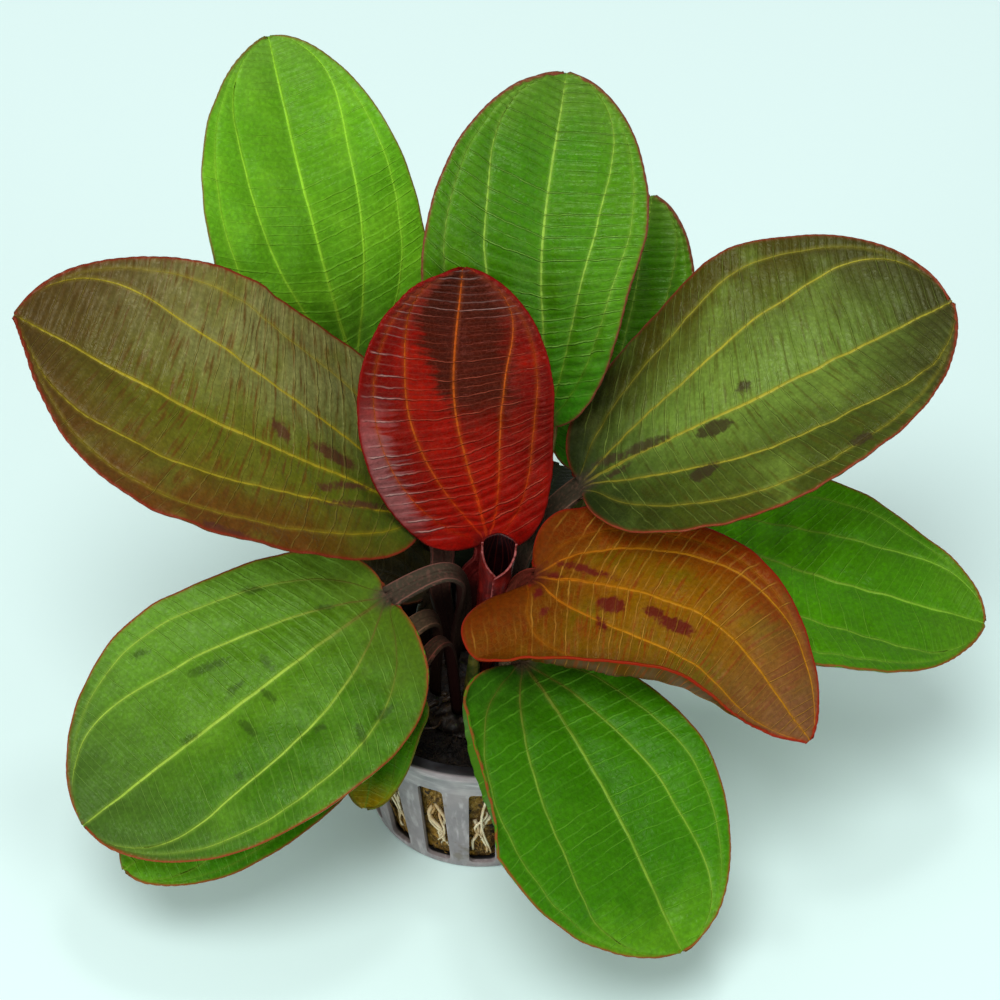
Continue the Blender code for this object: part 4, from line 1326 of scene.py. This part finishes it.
class SWORD_OT_pot(bpy.types.Operator):
    """Builds the slotted net pot with its rounded lip"""

    bl_idname = "sword.pot"
    bl_label = "Net pot"

    def execute(self, context):
        settings = context.scene.sword_pot
        under_lip = POT_HEIGHT - POT_LIP_DEPTH
        mouth = POT_RIM_RADIUS - POT_LIP_WIDTH
        inside = [blend(POT_FLOOR, under_lip - 0.8, i / 8.0) for i in range(9)]
        foot_radius = 0.5
        profile = [(0.0, POT_FLOOR)]
        profile += [(wall_radius(h) - POT_WALL, h) for h in inside]
        profile += [
            (mouth, under_lip), (mouth, POT_HEIGHT - 0.5), (mouth + 0.15, POT_HEIGHT - 0.15),
            (mouth + 0.5, POT_HEIGHT), (POT_RIM_RADIUS - 0.6, POT_HEIGHT),
            (POT_RIM_RADIUS - 0.2, POT_HEIGHT - 0.15), (POT_RIM_RADIUS, POT_HEIGHT - 0.55),
            (POT_RIM_RADIUS, under_lip + 0.3), (POT_RIM_RADIUS - 0.25, under_lip),
            (POT_TOP_RADIUS + 0.3, under_lip), (POT_TOP_RADIUS, under_lip - 0.3),
        ]
        profile += [(wall_radius(h), h) for h in (22.0, 16.0, 10.0, 5.0)]
        profile += [
            (POT_BASE_RADIUS + 0.05, foot_radius), (POT_BASE_RADIUS - 0.15, 0.15),
            (POT_BASE_RADIUS - foot_radius, 0.0), (0.0, 0.0),
        ]
        mesh = finish_mesh(spun(profile, settings.steps), "net_pot_moulded")
        pot = bpy.data.objects.new("pot_before_slots", mesh)
        context.scene.collection.objects.link(pot)
        cutters = self.cutters(settings)
        cut = pot.modifiers.new("slots", "BOOLEAN")
        cut.operation = "DIFFERENCE"
        cut.operand_type = "COLLECTION"
        cut.collection = cutters
        cut.solver = "EXACT"
        soften = pot.modifiers.new("edges", "BEVEL")
        soften.width = settings.edge
        soften.segments = 2
        soften.limit_method = "ANGLE"
        soften.angle_limit = math.radians(50.0)
        context.view_layer.update()
        graph = context.evaluated_depsgraph_get()
        moulded = bpy.data.meshes.new_from_object(pot.evaluated_get(graph))
        moulded.name = "net_pot_moulded"
        bpy.data.objects.remove(pot)
        for cutter in list(cutters.objects):
            bpy.data.objects.remove(cutter)
        bpy.data.collections.remove(cutters)
        moulded.materials.clear()
        place_piece("net_pot_moulded", moulded, (plastic_finish(),), ("net_pot",))
        moulded.set_sharp_from_angle(angle=math.radians(38.0))
        return {"FINISHED"}

    def cutters(self, settings):
        """A collection of round-cornered blocks, one for each slot."""
        group = bpy.data.collections.new("slot_blocks")
        bpy.context.scene.collection.children.link(group)
        low, top = POT_FLOOR + GAP, POT_HEIGHT - POT_BAND_DEPTH
        radius = wall_radius(POT_HEIGHT / 2.0)
        width = POT_BAY_TURN * radius - POT_RIB_WIDTH
        for i in range(POT_RIBS):
            turn = POT_RIB_TURN + (i + 0.5) * POT_BAY_TURN
            middle = (radius, 0.0, (top + low) / 2.0)
            self.block(group, (12.0, width, top - low), middle, turn, "X", settings.slot_corner)
        end = POT_BASE_RADIUS - POT_FLOOR_EDGE
        size = (end - POT_FLOOR_DISC, POT_FLOOR_SLOT_WIDTH, 3.0 * POT_FLOOR)
        for i in range(POT_FLOOR_SLOTS):
            turn = POT_RIB_TURN + i * TURN / POT_FLOOR_SLOTS
            middle = ((end + POT_FLOOR_DISC) / 2.0, 0.0, POT_FLOOR / 2.0)
            self.block(group, size, middle, turn, "Z", settings.slot_corner)
        return group

    def block(self, group, size, middle, turn, axis, corner):
        """A block whose edges along one axis are rounded."""
        bm = bmesh.new()
        bmesh.ops.create_cube(bm, size=1.0)
        bmesh.ops.scale(bm, vec=Vector(size) * MM, verts=bm.verts)
        index = "XYZ".index(axis)
        edges = [e for e in bm.edges if abs(e.verts[0].co[index] - e.verts[1].co[index]) > 1e-5]
        bmesh.ops.bevel(
            bm, geom=edges, offset=corner, affect="EDGES", segments=4, profile=0.5, material=-1,
        )
        bmesh.ops.translate(bm, vec=Vector(middle) * MM, verts=bm.verts)
        bmesh.ops.rotate(bm, cent=(0, 0, 0), matrix=Matrix.Rotation(turn, 3, "Z"), verts=bm.verts)
        made = bpy.data.objects.new("slot_block", finish_mesh(bm, "slot_block"))
        group.objects.link(made)


class SWORD_OT_medium(bpy.types.Operator):
    """Builds the plug of dark mineral wool and its loose strands"""

    bl_idname = "sword.medium"
    bl_label = "Growing medium"

    def execute(self, context):
        settings = context.scene.sword_medium
        low = POT_FLOOR + GAP
        mouth = POT_RIM_RADIUS - POT_LIP_WIDTH - GAP
        profile = [(0.0, MEDIUM_TOP)]
        profile += [(r, MEDIUM_TOP - 0.002 * r**2) for r in np.linspace(1.0, mouth - 1.0, 22)]
        profile += [(mouth - 0.3, MEDIUM_TOP - 1.4)]
        profile += [(wall_radius(h) - POT_WALL - 0.5, h) for h in np.linspace(MEDIUM_TOP - 2.2, low, 30)]
        profile += [(wall_radius(low) - POT_WALL - 3.0, low), (0.0, low)]
        mesh = finish_mesh(spun(profile, settings.steps), "wool_plug")
        points = mesh_points(mesh)
        radius = np.hypot(points[:, 0], points[:, 1])
        height = points[:, 2]
        lumps = settings.lumps / MM
        rough = 0.6 * ripple(points, 3.4, 11) + 0.4 * ripple(points, 1.3, 12)
        side = smooth(height, low + 0.5, low + 2.0) * smooth(MEDIUM_TOP - 0.5 - height, 0.0, 2.0)
        slots = self.slot_share(np.arctan2(points[:, 1], points[:, 0]), height)
        inward = side * (lumps * (rough - 1.0) * 0.35 + slots * (0.5 + 0.4 * rough) * lumps)
        points[:, :2] *= (1.0 + inward / np.maximum(radius, 1.0))[:, None]
        top = smooth(height, MEDIUM_TOP - 2.0, MEDIUM_TOP - 1.0)
        points[:, 2] += top * lumps * (0.9 * rough - 0.5)
        set_points(mesh, points)
        wool = wool_finish("wool_wet", tint(15, 12, 10), tint(40, 29, 19), tint(76, 56, 34))
        place_piece("growing_medium_wool", mesh, (wool,), ("growing_medium",))
        self.fibres(settings)
        return {"FINISHED"}

    def slot_share(self, angles, heights):
        """1 behind the middle of a slot, 0 behind a rib or the band."""
        bays = ((angles - POT_RIB_TURN) / POT_BAY_TURN - 0.5) % 1.0
        near = np.minimum(bays, 1.0 - bays)
        open_part = smooth(0.26 - near, 0.0, 0.08)
        return open_part * smooth(POT_HEIGHT - POT_BAND_DEPTH - 0.6 - heights, 0.0, 1.0)

    def fibres(self, settings):
        """Loose strands: of each three, two over the top and one in the slots."""
        rng = np.random.default_rng(21)
        bm = bmesh.new()
        radius_mm = settings.fibre_radius / MM
        for i in range(settings.fibres):
            path = self.top_strand(rng) if i % 3 else self.slot_strand(rng)
            add_tube(bm, path, np.full(len(path), radius_mm * rng.uniform(0.7, 1.4)), 3)
        strand = wool_finish("wool_strands", tint(22, 16, 12), tint(56, 40, 24), tint(104, 78, 46))
        place_tubes(bm, "wool_loose_strands", strand)

    def top_strand(self, rng):
        """The path of a strand that bends over the top of the plug, and down at its edge."""
        r = STRAND_REACH * math.sqrt(rng.uniform(0.12, 1.0))
        turn = rng.uniform(0.0, TURN)
        start = np.array([r * math.cos(turn), r * math.sin(turn), MEDIUM_TOP + 0.1])
        way = rng.uniform(0.0, TURN)
        steps = np.linspace(0.0, rng.uniform(2.0, 6.0), STRAND_POINTS)
        bend = rng.normal(0.0, 0.25)
        path = np.stack([
            start[0] + np.cumsum(np.cos(way + bend * steps)) * steps[1],
            start[1] + np.cumsum(np.sin(way + bend * steps)) * steps[1],
            start[2] + rng.uniform(-0.4, 0.5) + 0.35 * np.sin(steps * rng.uniform(0.5, 1.5)),
        ], 1)
        far = np.hypot(path[:, 0], path[:, 1])
        path[:, :2] *= np.minimum(1.0, 22.4 / far)[:, None]
        path[:, 2] -= smooth(far, 20.5, 23.0)
        return path

    def slot_strand(self, rng):
        """The path of a strand on the plug's side, behind a slot."""
        bay = rng.integers(POT_RIBS)
        turn = POT_RIB_TURN + (bay + 0.5 + rng.uniform(-0.2, 0.2)) * POT_BAY_TURN
        heights = rng.uniform(3.0, 21.0) + np.linspace(0.0, rng.uniform(-5.0, 5.0), STRAND_POINTS)
        heights = np.clip(heights, 2.6, 21.8)
        turns = turn + np.linspace(0.0, rng.uniform(-0.06, 0.06), STRAND_POINTS)
        return around(wall_radius(heights) - POT_WALL + rng.uniform(-0.1, 0.5), turns, heights)


class SWORD_OT_roots(bpy.types.Operator):
    """Builds the cream roots in the pot's slots and round the crown"""

    bl_idname = "sword.roots"
    bl_label = "Roots"

    def execute(self, context):
        settings = context.scene.sword_roots
        rng = np.random.default_rng(5)
        bm = bmesh.new()
        thick = settings.radius / MM
        for i in range(settings.wall_roots):
            self.wall_root(bm, rng, thick * rng.uniform(0.55, 1.1), i)
        cream = root_finish("roots_cream", tint(230, 214, 178), tint(186, 146, 88), tint(132, 92, 50))
        place_tubes(bm, "roots_fine", cream)
        bm = bmesh.new()
        for _ in range(settings.top_roots):
            self.top_root(bm, rng, 0.6 * thick * rng.uniform(0.6, 1.0))
        brown = root_finish("roots_brown", tint(84, 58, 34), tint(52, 36, 24), tint(128, 98, 60))
        place_tubes(bm, "roots_on_top", brown)
        return {"FINISHED"}

    def wall_root(self, bm, rng, thick, index):
        """A root that wanders down or across inside one slot, bulging a little out of it."""
        x = np.linspace(0.0, 1.0, 26)
        middle = POT_RIB_TURN + (index % POT_RIBS + 0.5) * POT_BAY_TURN
        reach = 0.19 * POT_BAY_TURN
        start, end = rng.uniform(-reach, reach, 2)
        heights = blend(rng.uniform(12.0, 22.5), rng.uniform(2.6, 9.0), x)
        sway = 0.10 * POT_BAY_TURN * np.sin(x * rng.uniform(4.0, 9.0) + rng.uniform(0, 6))
        turns = np.clip(middle + blend(start, end, x) + sway, middle - 1.12 * reach, middle + 1.12 * reach)
        depth = POT_WALL + thick
        out = wall_radius(heights) - depth + np.sin(math.pi * x) ** 0.5 * rng.uniform(0.5, 1.5)
        add_tube(bm, around(out, turns, heights), thick * (1.0 - 0.45 * x), 7)

    def top_root(self, bm, rng, thick):
        """A root that leaves the crown's foot and dips into the wool."""
        x = np.linspace(0.0, 1.0, 22)
        turn = rng.uniform(0.0, TURN)
        turns = turn + rng.uniform(-0.5, 0.5) * x + 0.1 * np.sin(6.0 * x)
        far = CROWN_RADIUS - 0.8 + rng.uniform(3.0, 8.5) * x
        heights = MEDIUM_TOP + 1.2 + rng.uniform(0.2, 1.6) * np.sin(math.pi * x) - 2.6 * x**2
        add_tube(bm, around(far, turns, heights), thick * (1.0 - 0.35 * x), 7)


class SWORD_OT_crown(bpy.types.Operator):
    """Builds the short lumpy stem with its root stubs and bud"""

    bl_idname = "sword.crown"
    bl_label = "Crown"

    def execute(self, context):
        settings = context.scene.sword_crown
        low = MEDIUM_TOP - 0.2
        radii = CROWN_RADIUS * np.sin(np.linspace(0.0, math.pi / 2.0, 34))
        profile = [(float(r), float(crown_height(r))) for r in radii]
        profile += [(CROWN_RADIUS - 0.4, low), (0.0, low)]
        mesh = finish_mesh(spun(profile, settings.steps), "crown_stem")
        points = mesh_points(mesh)
        lumps = settings.lumps / MM
        rough = 0.6 * ripple(points, 4.2, 31) + 0.3 * ripple(points, 1.6, 32)
        above = smooth(points[:, 2], low + 0.3, low + 1.5)
        points[:, 2] += above * lumps * (rough - 0.6)
        out = np.hypot(points[:, 0], points[:, 1])
        push = above * lumps * 0.6 * ripple(points, 3.0, 33) * smooth(out, 4.0, 9.0)
        points[:, :2] *= (1.0 + push / np.maximum(out, 1.0))[:, None]
        set_points(mesh, points)
        place_piece("crown_stem", mesh, (crown_finish(),), ("crown",))
        self.stubs(settings)
        return {"FINISHED"}

    def stubs(self, settings):
        """Short brown root ends, and the yellow-green bud at the front."""
        rng = np.random.default_rng(8)
        bm = bmesh.new()
        for _ in range(settings.stubs):
            x = np.linspace(0.0, 1.0, 9)
            turn = rng.uniform(0.0, TURN)
            r = rng.uniform(6.5, 11.0)
            z = float(crown_height(r))
            out = r + rng.uniform(1.0, 3.2) * x
            heights = z - 0.5 + rng.uniform(0.2, 1.6) * x - 1.4 * x**2
            turns = turn + rng.uniform(-0.2, 0.2) * x
            add_tube(bm, around(out, turns, heights), rng.uniform(0.35, 0.6) * np.sqrt(1.02 - x**3), 8)
        brown = root_finish("stubs_brown", tint(70, 50, 32), tint(40, 28, 20), tint(110, 84, 52))
        place_tubes(bm, "crown_root_stubs", brown)
        bm = bmesh.new()
        x = np.linspace(0.0, 1.0, 20)
        low, high = np.array((-2.2, -4.7, 28.0)), np.array((-1.3, -4.4, 39.8))
        path = low + (high - low) * x[:, None]
        path[:, 0] += 0.5 * np.sin(math.pi * x)
        add_tube(bm, path, 0.12 + 1.15 * np.sqrt(1.0 - x**3) * (0.75 + 0.25 * np.sin(math.pi * x)), 18)
        place_tubes(bm, "crown_bud", bud_finish())


class SWORD_OT_leaves(bpy.types.Operator):
    """Builds every open leaf, with its stalk, veins, cross-veins and margin"""

    bl_idname = "sword.leaves"
    bl_label = "Leaves"

    def execute(self, context):
        settings = context.scene.sword_leaves
        for index, leaf in enumerate(LEAVES):
            build_leaf(leaf, settings, seed=100 + 20 * index)
        return {"FINISHED"}


class SWORD_OT_furled_leaf(bpy.types.Operator):
    """Builds the youngest leaf, still rolled up like a scroll, that opens near its tip"""

    bl_idname = "sword.furled_leaf"
    bl_label = "Young furled leaf"

    def execute(self, context):
        settings = context.scene.sword_furled
        mesh, row, column = grid_mesh("leaf_young_furled", settings.columns + 1, settings.rows + 1)
        t = (row / settings.rows)[:, None]
        across = (2.0 * column / settings.columns - 1.0)[:, None]
        base, tip = np.array(FURLED_BASE), np.array(FURLED_TIP)
        axis = unit(tip - base)
        right = unit(np.cross((0.0, 1.0, 0.0), axis))
        back = np.cross(axis, right)
        rolled = np.clip(np.sqrt(np.maximum(1.0 - t, 0.0) / (1.0 - FURLED_OPENS)), FURLED_TIP_ROLL, 1.0)
        turn = across * rolled * FURLED_TURN
        radius = blend(*FURLED_RADIUS, t) * (1.0 + FURLED_OVERLAP * across) + 0.05 * np.cos(turn * 5.0)
        points = blend(base, tip, t) + radius * (np.sin(turn) * right + np.cos(turn) * back)
        points += 0.06 * ripple(points, 4.0, 3)[:, None] * back
        set_points(mesh, points)
        add_attribute(mesh, "leaf_place", np.hstack([across, t, 0.0 * t]))
        materials = (
            # The inside is near black: painted shade inside the roll.
            furled_finish("furled_inner", tint(16, 3, 5), tint(32, 5, 8)),
            furled_finish("furled_outer", tint(66, 9, 9), tint(104, 18, 14)),
            furled_finish("furled_edge", tint(86, 16, 14), tint(58, 10, 10)),
        )
        piece = place_piece("leaf_young_furled_grown", mesh, materials, ("leaf_young_furled",))
        add_wall(piece, settings.wall)
        return {"FINISHED"}


OPERATORS = (
    SWORD_OT_stage, SWORD_OT_pot, SWORD_OT_medium, SWORD_OT_roots, SWORD_OT_crown, SWORD_OT_leaves,
    SWORD_OT_furled_leaf,
)
SETTINGS = {
    "sword_stage": StageSettings,
    "sword_pot": PotSettings,
    "sword_medium": MediumSettings,
    "sword_roots": RootSettings,
    "sword_crown": CrownSettings,
    "sword_leaves": LeafSettings,
    "sword_furled": FurledSettings,
}


class SWORD_PT_panel(bpy.types.Panel):
    """Lists the plant's parts"""

    bl_label = "Sword plant"
    bl_idname = "SWORD_PT_panel"
    bl_space_type = "VIEW_3D"
    bl_region_type = "UI"
    bl_category = "Sword plant"

    def draw(self, context):
        for operator in OPERATORS:
            self.layout.operator(operator.bl_idname)


def register():
    for group in SETTINGS.values():
        bpy.utils.register_class(group)
    for name, group in SETTINGS.items():
        setattr(bpy.types.Scene, name, bpy.props.PointerProperty(type=group))
    for operator in OPERATORS:
        bpy.utils.register_class(operator)
    bpy.utils.register_class(SWORD_PT_panel)


def unregister():
    bpy.utils.unregister_class(SWORD_PT_panel)
    for operator in reversed(OPERATORS):
        bpy.utils.unregister_class(operator)
    for name in SETTINGS:
        delattr(bpy.types.Scene, name)
    for group in SETTINGS.values():
        bpy.utils.unregister_class(group)


def main():
    """Builds everything, in order."""
    register()
    bpy.ops.sword.stage()
    bpy.ops.sword.pot()
    bpy.ops.sword.medium()
    bpy.ops.sword.roots()
    bpy.ops.sword.crown()
    bpy.ops.sword.leaves()
    bpy.ops.sword.furled_leaf()


if __name__ == "__main__":
    main()
